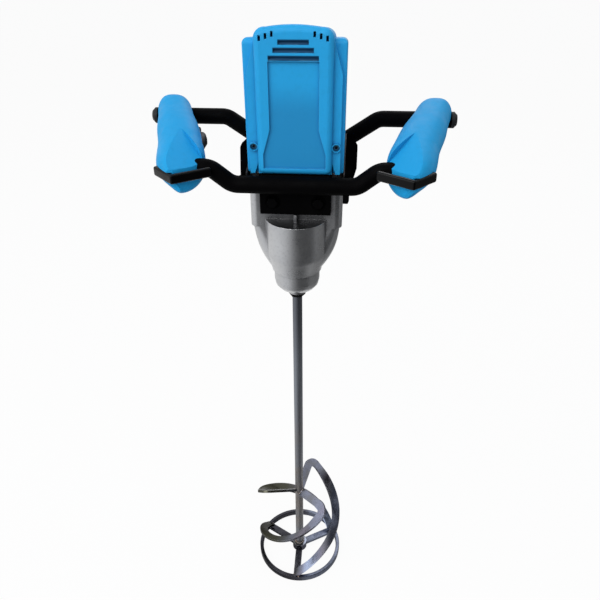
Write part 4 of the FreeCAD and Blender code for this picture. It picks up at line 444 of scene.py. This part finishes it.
def new_piece(name, mesh, material, body):
    """A finished piece that rides on a body."""
    piece = linked(name, mesh)
    mesh.materials.clear()
    mesh.materials.append(material)
    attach(piece, body)


def mesh_from(build, name):
    """A named mesh from what was built."""
    mesh = bpy.data.meshes.new(name)
    build.to_mesh(mesh)
    build.free()
    return mesh


def add_bar(build, ends):
    """A closed bar between two end outlines with as many corners."""
    first, last = ([build.verts.new(corner) for corner in outline] for outline in ends)
    for one in range(len(first)):
        two = (one + 1) % len(first)
        build.faces.new((first[one], first[two], last[two], last[one]))
    build.faces.new(first)
    build.faces.new(last)


# The cover's air slots: the top one's floor and half length, and how the next ones step.
SLOT_COUNT = 3
SLOT_FLOOR, SLOT_DROP = 845.4 * MM, 7.8 * MM
SLOT_HALF, SLOT_WIDENING = 15.8, 5.2


def slot_bars(name, side_room, section):
    """One bar along each air slot of the cover, its section in mm from the slot's front foot."""
    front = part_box("front_cover")[0].y
    build = bmesh.new()
    for index in range(SLOT_COUNT):
        reach = (SLOT_HALF + SLOT_WIDENING * index + side_room) * MM
        floor = SLOT_FLOOR - SLOT_DROP * index
        add_bar(build, [[(x, front + y * MM, floor + z * MM) for y, z in section]
                        for x in (-reach, reach)])
    bmesh.ops.recalc_face_normals(build, faces=build.faces)
    return mesh_from(build, name)


def slot_cutter():
    """Wedges that lead into the cover's air slots from above."""
    section = [(-1.0, -0.4), (-1.0, 6.4), (1.6, 3.1), (1.6, -0.1)]
    return linked("slot_cutter", slot_bars("slot_cutter", 0.3, section))


def slot_slats():
    """Sloping slats inside the air slots, which the cover's finish tints with its painted slot
    shade.
    """
    section = [(1.8, 0.05), (4.2, 2.95), (5.4, 2.95), (3.0, 0.05)]
    mesh = slot_bars("slot_slats", -0.1, section)
    new_piece("slot_slats", mesh, cover_blue, "machine")


MERGE_REACH = 0.002 * MM
FLAT_ANGLE = math.radians(0.4)
ROUND_ANGLE = math.radians(40)
SOFT_ANGLE = math.radians(32)


def dressed(node, bevel=0.0, cutter=None):
    """A node's own mesh, merged and smoothly shaded, with small rounds on its sharp edges."""
    build = bmesh.new()
    build.from_mesh(frame["nodes"][node].data)
    bmesh.ops.remove_doubles(build, verts=build.verts, dist=MERGE_REACH)
    if bevel:
        bmesh.ops.dissolve_limit(build, angle_limit=FLAT_ANGLE, verts=build.verts,
                                 edges=build.edges)
    mesh = mesh_from(build, node + "_finished")
    # The merge leaves the node's stored corner normals out of step with its new corners.
    if "custom_normal" in mesh.attributes:
        mesh.attributes.remove(mesh.attributes["custom_normal"])
    piece = linked(node + "_finished", mesh)
    if bevel:
        rounds = piece.modifiers.new("rounds", "BEVEL")
        rounds.width = bevel
        rounds.segments = 3
        rounds.limit_method = "ANGLE"
        rounds.angle_limit = ROUND_ANGLE
        rounds.use_clamp_overlap = True
        plain_mesh(piece)
    if cutter:
        cut = piece.modifiers.new("cut", "BOOLEAN")
        cut.operation = "DIFFERENCE"
        cut.solver = "EXACT"
        cut.object = cutter
        plain_mesh(piece)
        bpy.data.objects.remove(cutter)
    mesh = piece.data
    mesh.polygons.foreach_set("use_smooth", [True] * len(mesh.polygons))
    mesh.set_sharp_from_angle(angle=SOFT_ANGLE)
    normals = piece.modifiers.new("normals", "WEIGHTED_NORMAL")
    normals.keep_sharp = True
    normals.weight = 50
    plain_mesh(piece)
    piece.data.materials.clear()
    piece.data.materials.append(OWN_FINISH.get(node, FINISHES[SLOT_OF[node]]))
    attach(piece, BODY_OF[node])
    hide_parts(node)


# Rounds on the edges of these nodes, in mm.
ROUNDED = {
    "front_plate": 1.0, "rear_plate": 1.0, "left_side_plate": 0.8, "right_side_plate": 0.8,
    "left_yoke": 2.2, "right_yoke": 2.2, "stirrer_ring": 1.2, "stirrer_spider": 0.8,
    "front_bolts": 0.5, "rear_bolts": 0.5, "lock_nut": 0.7, "switch_module": 0.8,
    "brush_bridge": 0.8, "brush_holders": 0.5, "carbon_brushes": 0.3,
}
for node in frame["nodes"]:
    dressed(node, bevel=ROUNDED.get(node, 0.0) * MM,
            cutter=slot_cutter() if node == "front_cover" else None)


class Growth(Nodes):
    """A Geometry Nodes tree that grows detail on a mesh of places, with named sizes."""

    def __init__(self, name, sizes):
        super().__init__(bpy.data.node_groups.new(name, "GeometryNodeTree"))
        face = self.tree.interface
        face.new_socket("Places", in_out="INPUT", socket_type="NodeSocketGeometry")
        self.keys = {}
        for size, value in sizes.items():
            socket = face.new_socket(size, in_out="INPUT", socket_type="NodeSocketFloat")
            socket.default_value = value
            self.keys[size] = socket.identifier
        finish = face.new_socket("Finish", in_out="INPUT", socket_type="NodeSocketMaterial")
        self.keys["Finish"] = finish.identifier
        face.new_socket("Grown", in_out="OUTPUT", socket_type="NodeSocketGeometry")
        self.given = self.add("NodeGroupInput").outputs
        self.result = self.add("NodeGroupOutput").inputs

    def size(self, x, y, z):
        """Three sizes as one scale."""
        return self.add("ShaderNodeCombineXYZ", {"X": x, "Y": y, "Z": z}).outputs[0]

    def copies(self, points, shape, rotation=None, **feeds):
        """Copies of a shape on points, turned to each place's own direction unless given a turn."""
        if rotation is None:
            way = self.add("GeometryNodeInputNamedAttribute", {"Name": "direction"},
                           data_type="FLOAT_VECTOR").outputs["Attribute"]
            rotation = self.add("FunctionNodeAlignRotationToVector", {"Vector": way},
                                axis="Z").outputs["Rotation"]
        feeds.update({"Points": points, "Instance": shape, "Rotation": rotation})
        return self.add("GeometryNodeInstanceOnPoints", feeds).outputs[0]

    def end(self, instances, smooth=True):
        """Make the copies real, shade them and give them their finish."""
        real = self.add("GeometryNodeRealizeInstances", {"Geometry": instances}).outputs[0]
        shaded = self.add("GeometryNodeSetShadeSmooth", {"Geometry": real, "Shade Smooth": smooth})
        done = self.add("GeometryNodeSetMaterial",
                        {"Geometry": shaded.outputs[0], "Material": self.given["Finish"]})
        self.feed(self.result[0], done.outputs[0])
        return self

    def grow(self, name, places, body, slot, material, **sizes):
        """Run the tree on a mesh of places, and keep the plain mesh as a piece."""
        seed = linked(name, places)
        modifier = seed.modifiers.new("growth", "NODES")
        modifier.node_group = self.tree
        modifier[self.keys["Finish"]] = material
        for size, value in sizes.items():
            modifier[self.keys[size]] = value
        plain_mesh(seed)
        mesh = seed.data
        bpy.data.objects.remove(seed)
        new_piece(name, mesh, material, body)


def spots(rows):
    """A mesh of places, each with its own direction."""
    mesh = bpy.data.meshes.new("places")
    mesh.from_pydata([tuple(place) for place, _ in rows], [], [])
    attribute = mesh.attributes.new("direction", "FLOAT_VECTOR", "POINT")
    attribute.data.foreach_set("vector", [value for _, way in rows for value in way])
    return mesh


def lines(paths):
    """A mesh of open lines, each through its own points."""
    mesh = bpy.data.meshes.new("places")
    points, edges = [], []
    for path in paths:
        first = len(points)
        points += [tuple(point) for point in path]
        edges += [(first + index, first + index + 1) for index in range(len(path) - 1)]
    mesh.from_pydata(points, edges, [])
    return mesh


def bead_growth():
    """Weld bead: overlapping ripples along a line."""
    growth = Growth("weld_bead", {"Width": 4.0 * MM, "Pitch": 1.2 * MM, "Height": 2.0 * MM})
    given = growth.given
    curve = growth.add("GeometryNodeMeshToCurve", {"Mesh": given["Places"]}).outputs[0]
    points = growth.add("GeometryNodeCurveToPoints", {"Curve": curve, "Length": given["Pitch"]},
                        mode="LENGTH").outputs
    ripple = growth.add("GeometryNodeMeshIcoSphere", {"Radius": 0.5, "Subdivisions": 2}).outputs[0]
    size = growth.size(given["Height"], given["Width"], growth.product(given["Pitch"], 2.4))
    change = growth.add("FunctionNodeRandomValue", {2: 0.86, 3: 1.12, "Seed": 7},
                        data_type="FLOAT").outputs[1]
    scale = growth.add("ShaderNodeVectorMath", {0: size, "Scale": change}, operation="SCALE")
    return growth.end(growth.copies(points["Points"], ripple, points["Rotation"],
                                    Scale=scale.outputs[0]))


def ring_growth():
    """Flat rings, such as washers, square to each place's direction."""
    growth = Growth("flat_ring", {"Radius": 6.0 * MM, "Width": 3.0 * MM, "Thickness": 1.2 * MM})
    given = growth.given
    circle = growth.add("GeometryNodeCurvePrimitiveCircle",
                        {"Resolution": 40, "Radius": given["Radius"]}).outputs[0]
    section = growth.add("GeometryNodeCurvePrimitiveQuadrilateral",
                         {"Width": given["Width"], "Height": given["Thickness"]}).outputs[0]
    softer = growth.add("GeometryNodeFilletCurve", {
        "Curve": section, "Radius": growth.product(given["Thickness"], 0.25), "Count": 2},
        mode="POLY").outputs[0]
    ring = growth.add("GeometryNodeCurveToMesh",
                      {"Curve": circle, "Profile Curve": softer}).outputs[0]
    return growth.end(growth.copies(given["Places"], ring), smooth=False)


def socket_growth():
    """The raised rim of a screw head round its six-lobed socket."""
    growth = Growth("screw_socket", {"Radius": 3.6 * MM, "Height": 0.8 * MM, "Socket": 1.9 * MM})
    given = growth.given
    rim = growth.add("GeometryNodeCurvePrimitiveCircle",
                     {"Resolution": 36, "Radius": given["Radius"]}).outputs[0]
    star = growth.add("GeometryNodeCurveStar", {
        "Points": 6, "Inner Radius": growth.product(given["Socket"], 0.7),
        "Outer Radius": given["Socket"]}).outputs[0]
    both = growth.add("GeometryNodeJoinGeometry")
    for curve in (rim, star):
        growth.feed(both.inputs[0], curve)
    face = growth.add("GeometryNodeFillCurve", {"Curve": both.outputs[0]}).outputs[0]
    raised = growth.add("GeometryNodeExtrudeMesh", {
        "Mesh": face, "Offset Scale": given["Height"], "Individual": False}, mode="FACES")
    return growth.end(growth.copies(given["Places"], raised.outputs["Mesh"]), smooth=False)


def bar_growth():
    """Small rounded bars that lie across each place's direction."""
    growth = Growth("raised_bar", {"Length": 12.0 * MM, "Width": 1.4 * MM, "Height": 1.0 * MM})
    given = growth.given
    size = growth.size(given["Length"], given["Width"], given["Height"])
    bar = growth.add("GeometryNodeMeshUVSphere",
                     {"Segments": 12, "Rings": 6, "Radius": 0.5}).outputs[0]
    return growth.end(growth.copies(given["Places"], bar, Scale=size))


beads = bead_growth()
rings = ring_growth()
sockets = socket_growth()
bars = bar_growth()


def middle_level(node):
    """The height of a node's middle."""
    low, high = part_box(node)
    return (low.z + high.z) / 2


def hub_bead(radius, height):
    """Points once round the spindle's axis."""
    steps = 36
    angles = [math.tau * index / steps for index in range(steps + 1)]
    return [Vector((radius * math.cos(angle), radius * math.sin(angle), height))
            for angle in angles]


def arm_bead(turn, face):
    """Points across the end of a stirrer arm on the shaft, on one face of its flat bar, in mm."""
    shaft_radius, level, half_width = 6.9, 146.1, 5
    pitch = math.radians(44.8)
    path = []
    for step in range(-half_width, half_width + 1):
        across = step * math.cos(pitch) - face * math.sin(pitch)
        rise = level + step * math.sin(pitch) + face * math.cos(pitch)
        out = math.sqrt(shaft_radius ** 2 - across ** 2)
        path.append(turn @ Vector((out, across, rise)))
    return path


def stirrer_welds():
    """The beads where spokes, ring, blades and shaft meet."""
    first_spoke, spoke_step, arm_lead = 270, 120, 165.9
    spoke_beads = [
        [(63.4, -0.6, 7.6), (63.4, -5.4, 7.6)],
        [(63.4, 0.6, 7.6), (63.4, 5.4, 7.6)],
        [(63.6, -5.2, 2.3), (63.6, 5.2, 2.3)],
        [(62.0, 3.0, 10.6), (66.0, 3.0, 10.6), (68.6, 3.0, 10.6)],
    ]
    paths = [hub_bead(7.2 * MM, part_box("stirrer_spider")[1].z + 0.6 * MM)]
    for index in range(3):
        spoke = first_spoke + spoke_step * index
        turn = Matrix.Rotation(math.radians(spoke), 3, "Z")
        arm = Matrix.Rotation(math.radians(spoke + arm_lead), 3, "Z")
        beads_here = [[turn @ Vector(point) for point in bead] for bead in spoke_beads]
        beads_here += [arm_bead(arm, face) for face in (-2.2, 2.2)]
        paths += [[point * MM for point in bead] for bead in beads_here]
    beads.grow("stirrer_welds", lines(paths), "spindle", "stirrer_steel", weld_finish,
               Width=3.0 * MM, Pitch=1.0 * MM, Height=2.4 * MM)


TUBE_RADIUS = 10 * MM


def frame_welds():
    """The beads where tubes and plates of the handle frame meet."""
    bead_rise, bead_out, end_room, top_room = 7.4 * MM, 1.6 * MM, 3 * MM, 0.5 * MM
    tube_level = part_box("front_tube")[0].z + TUBE_RADIUS
    low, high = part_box("front_plate")
    across = (low.x + end_room, high.x - end_room)
    levels = (tube_level - bead_rise, min(high.z - top_room, tube_level + bead_rise))
    paths = [[(x, low.y - bead_out, level) for x in across] for level in levels]
    low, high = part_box("rear_plate")
    across = (low.x + end_room, high.x - end_room)
    rear_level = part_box("rear_tube")[0].z + TUBE_RADIUS - bead_rise
    paths.append([(x, high.y + bead_out, rear_level) for x in across])
    plate_width, side_out, side_half = 6.3 * MM, 0.4 * MM, 6 * MM
    for side in ("left_side_plate", "right_side_plate"):
        low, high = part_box(side)
        inner = low.x if low.x > 0 else high.x
        outer = inner + math.copysign(plate_width, inner)
        for x in (inner, outer):
            paths.append([(x, low.y - side_out, tube_level + rise)
                          for rise in (-side_half, side_half)])
    beads.grow("frame_welds", lines(paths), "machine", "black_steel", FINISHES["black_steel"],
               Width=4.0 * MM, Pitch=1.5 * MM, Height=3.0 * MM)


def bolt_washers():
    """Plain washers round the heads of the frame's bolts."""
    bolt_side, half_thick = 27 * MM, 0.6 * MM
    faces = (("front_bolts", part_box("front_plate")[0].y, -1),
             ("rear_bolts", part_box("rear_plate")[1].y, 1))
    rows = [((x, face + way * half_thick, middle_level(node)), (0.0, way, 0.0))
            for node, face, way in faces for x in (-bolt_side, bolt_side)]
    rings.grow("bolt_washers", spots(rows), "machine", "dark_fasteners", plain_black,
               Radius=7.2 * MM, Width=3.0 * MM, Thickness=1.2 * MM)


def screw_sockets():
    """The six-lobed sockets of the cover's screws."""
    screw_side = 46.5 * MM
    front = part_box("cover_screws")[0].y
    rows = [((x, front, middle_level("cover_screws")), (0.0, -1.0, 0.0))
            for x in (-screw_side, screw_side)]
    sockets.grow("cover_screw_sockets", spots(rows), "machine", "dark_fasteners", screw_finish,
                 Radius=3.6 * MM, Height=0.7 * MM, Socket=2.1 * MM)


def trigger_ribs():
    """The ribs across the trigger's face."""
    rib_count, end_steps = 9, 1.5
    low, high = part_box("trigger")
    step = (high.y - low.y) / (rib_count + 2)
    rows = [((high.x, low.y + step * (index + end_steps), middle_level("trigger")),
             (1.0, 0.0, 0.0)) for index in range(rib_count)]
    bars.grow("trigger_ribs", spots(rows), "trigger", "black_plastic", FINISHES["black_plastic"],
              Length=9 * MM, Width=1.3 * MM, Height=1.0 * MM)


def gland_lip():
    """The lip round the rubber inlet behind."""
    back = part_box("cable_gland")[1].y + 0.2 * MM
    rows = [((0.0, back, middle_level("cable_gland")), (0.0, 1.0, 0.0))]
    rings.grow("gland_lip", spots(rows), "machine", "black_rubber", FINISHES["black_rubber"],
               Radius=6.4 * MM, Width=2.2 * MM, Thickness=1.2 * MM)


def side_packings():
    """The rubber strips between the side plates and the housing."""
    near, press = 0.01 * MM, 0.05 * MM
    housing_side = abs(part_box("rear_housing")[1].x)
    for side, sign in (("left", -1), ("right", 1)):
        build = bmesh.new()
        build.from_mesh(frame["nodes"][side + "_side_plate"].data)
        inner = min(abs(vertex.co.x) for vertex in build.verts)
        away = [face for face in build.faces
                if any(abs(vertex.co.x) > inner + near for vertex in face.verts)]
        bmesh.ops.delete(build, geom=away, context="FACES")
        grown = bmesh.ops.extrude_face_region(build, geom=list(build.faces))["geom"]
        for item in grown:
            if isinstance(item, bmesh.types.BMVert):
                item.co.x = sign * (housing_side + press)
        for vertex in build.verts:
            if abs(abs(vertex.co.x) - inner) < near:
                vertex.co.x = sign * (inner - press)
        bmesh.ops.recalc_face_normals(build, faces=build.faces)
        mesh = mesh_from(build, side + "_side_packing")
        new_piece(side + "_side_packing", mesh, FINISHES["black_rubber"], "machine")


def tube_lug():
    """The small lug welded under the front tube, beside the right side plate."""
    outline = [(55.7, 5.0), (55.7, -8.5), (61.6, -8.5), (62.9, -5.0), (62.9, 5.0)]
    depths = (4.0, 14.5)
    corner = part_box("front_tube")[0]
    build = bmesh.new()
    add_bar(build, [[(x * MM, corner.y + y * MM, corner.z + z * MM) for x, z in outline]
                    for y in depths])
    bmesh.ops.recalc_face_normals(build, faces=build.faces)
    bmesh.ops.bevel(build, geom=list(build.edges), offset=0.8 * MM, segments=3, profile=0.5,
                    affect="EDGES")
    new_piece("tube_lug", mesh_from(build, "tube_lug"), FINISHES["black_steel"], "machine")


slot_slats()
stirrer_welds()
frame_welds()
bolt_washers()
screw_sockets()
trigger_ribs()
gland_lip()
side_packings()
tube_lug()


def seen_plain(nodes, glossy=True):
    """One where something is seen directly or through glass, or in a reflection too."""
    rays = nodes.add("ShaderNodeLightPath").outputs
    seen = nodes.maths("MAXIMUM", rays["Is Camera Ray"], rays["Is Transmission Ray"])
    return nodes.maths("MAXIMUM", seen, rays["Is Glossy Ray"]) if glossy else seen


def mixed(nodes, share, first, second):
    """Two shaders mixed by a share that a node gives."""
    return nodes.add("ShaderNodeMixShader", {0: share, 1: first, 2: second}).outputs[0]


def right_dimmed(finish, low, high, least):
    """One to the eye, and in reflections less and less towards the right."""
    dim = finish.between(finish.axes(finish.place)["X"], low, high, 1.0, least)
    return finish.maths("POWER", dim, finish.add("ShaderNodeLightPath").outputs["Is Glossy Ray"])


def clear_share(finish, front):
    """One where the floor lets a ray through: from below, and in front for all but the eye."""
    ahead = finish.between(finish.axes(finish.place)["Y"], front - 10 * MM, front, 1.0, 0.0)
    eye = finish.add("ShaderNodeLightPath").outputs["Is Camera Ray"]
    below = finish.add("ShaderNodeNewGeometry").outputs["Backfacing"]
    return finish.maths("MAXIMUM", finish.maths("SUBTRACT", ahead, eye), below)


def white_floor():
    """A pale floor that is seen as white and keeps a faint shadow."""
    reach, drop = 14.0, 0.5 * MM
    shadow_front = -0.13
    white_share = 0.94
    mesh = bpy.data.meshes.new("studio_floor")
    corners = [(reach * x, reach * y, 0.0) for x, y in ((-1, -1), (1, -1), (1, 1), (-1, 1))]
    mesh.from_pydata(corners, [], [(0, 1, 2, 3)])
    floor = linked("studio_floor", mesh)
    floor.location.z = -drop
    pale = Finish("pale_floor", (0.85, 0.85, 0.85), 0.9)
    white = pale.add("ShaderNodeEmission", {"Strength": right_dimmed(pale, 0.02, 0.60, 0.16)})
    share = pale.product(seen_plain(pale), white_share)
    seen = mixed(pale, share, pale.shader.outputs[0], white.outputs[0])
    clear = pale.add("ShaderNodeBsdfTransparent").outputs[0]
    surface = mixed(pale, clear_share(pale, shadow_front), seen, clear)
    pale.feed(pale.tree.nodes["Material Output"].inputs["Surface"], surface)
    mesh.materials.append(pale.material)


def studio_world():
    """A soft world, white to the eye, that reflections show as a dim room in front."""
    world = bpy.data.worlds.new("studio")
    bpy.context.scene.world = world
    world.use_nodes = True
    nodes = Nodes(world.node_tree)
    soft = nodes.tree.nodes["Background"]
    soft.inputs["Color"].default_value = (0.93, 0.96, 1.0, 1.0)
    soft.inputs["Strength"].default_value = 0.42
    way = nodes.axes(nodes.add("ShaderNodeTexCoord").outputs["Generated"])
    front = nodes.between(way["X"], -0.85, 0.20, 1.0, 0.05)
    room = nodes.between(way["Y"], -0.45, 0.45, front, 1.0)
    mirrored = nodes.add("ShaderNodeBackground",
                         {"Color": (0.97, 0.98, 1.0, 1.0), "Strength": room}).outputs[0]
    white = nodes.add("ShaderNodeBackground", {"Color": (1.0, 1.0, 1.0, 1.0)}).outputs[0]
    lit = mixed(nodes, seen_plain(nodes), soft.outputs[0], mirrored)
    shown = mixed(nodes, seen_plain(nodes, glossy=False), lit, white)
    nodes.feed(nodes.tree.nodes["World Output"].inputs["Surface"], shown)


def studio_lamps():
    """Three soft lamps: one high at the left, one high at the right and one behind."""
    target = Vector((0.0, 0.0, 0.62))
    lamps = (
        ("key_lamp", (-1.30, -1.45, 2.05), 2.2, 41.0),
        ("fill_lamp", (0.45, -1.15, 2.35), 1.4, 8.0),
        ("back_lamp", (0.35, 1.60, 1.90), 1.2, 8.0),
    )
    for name, place, size, power in lamps:
        light = bpy.data.lights.new(name, "AREA")
        light.size = size
        light.energy = power
        lamp = linked(name, light)
        lamp.location = place
        lamp.rotation_euler = (target - Vector(place)).to_track_quat("-Z", "Y").to_euler()


def photo_camera():
    """The camera, high in front of the machine and looking down."""
    image_width, focal_length, sideways = 600, 620, 2.6  # pixels
    pitch, azimuth, roll = (math.radians(value) for value in (33.0, 5.0, -0.55))
    reach, height = 0.6916, 0.971
    ahead = Vector((-math.sin(azimuth) * math.cos(pitch), math.cos(azimuth) * math.cos(pitch),
                    -math.sin(pitch)))
    right = Vector((math.cos(azimuth), math.sin(azimuth), 0.0))
    up = right.cross(ahead)
    right, up = (right * math.cos(roll) + up * math.sin(roll),
                 up * math.cos(roll) - right * math.sin(roll))
    lens = bpy.data.cameras.new("photo_camera")
    lens.sensor_width = 36.0
    lens.lens = lens.sensor_width * focal_length / image_width
    lens.shift_x = sideways / image_width
    camera = linked("photo_camera", lens)
    turn = Matrix((right, up, -ahead)).transposed().to_4x4()
    place = Vector((reach * math.sin(azimuth), -reach * math.cos(azimuth), height))
    camera.matrix_world = Matrix.Translation(place) @ turn
    bpy.context.scene.camera = camera


white_floor()
studio_world()
studio_lamps()
photo_camera()
bpy.context.scene.view_settings.view_transform = "Standard"
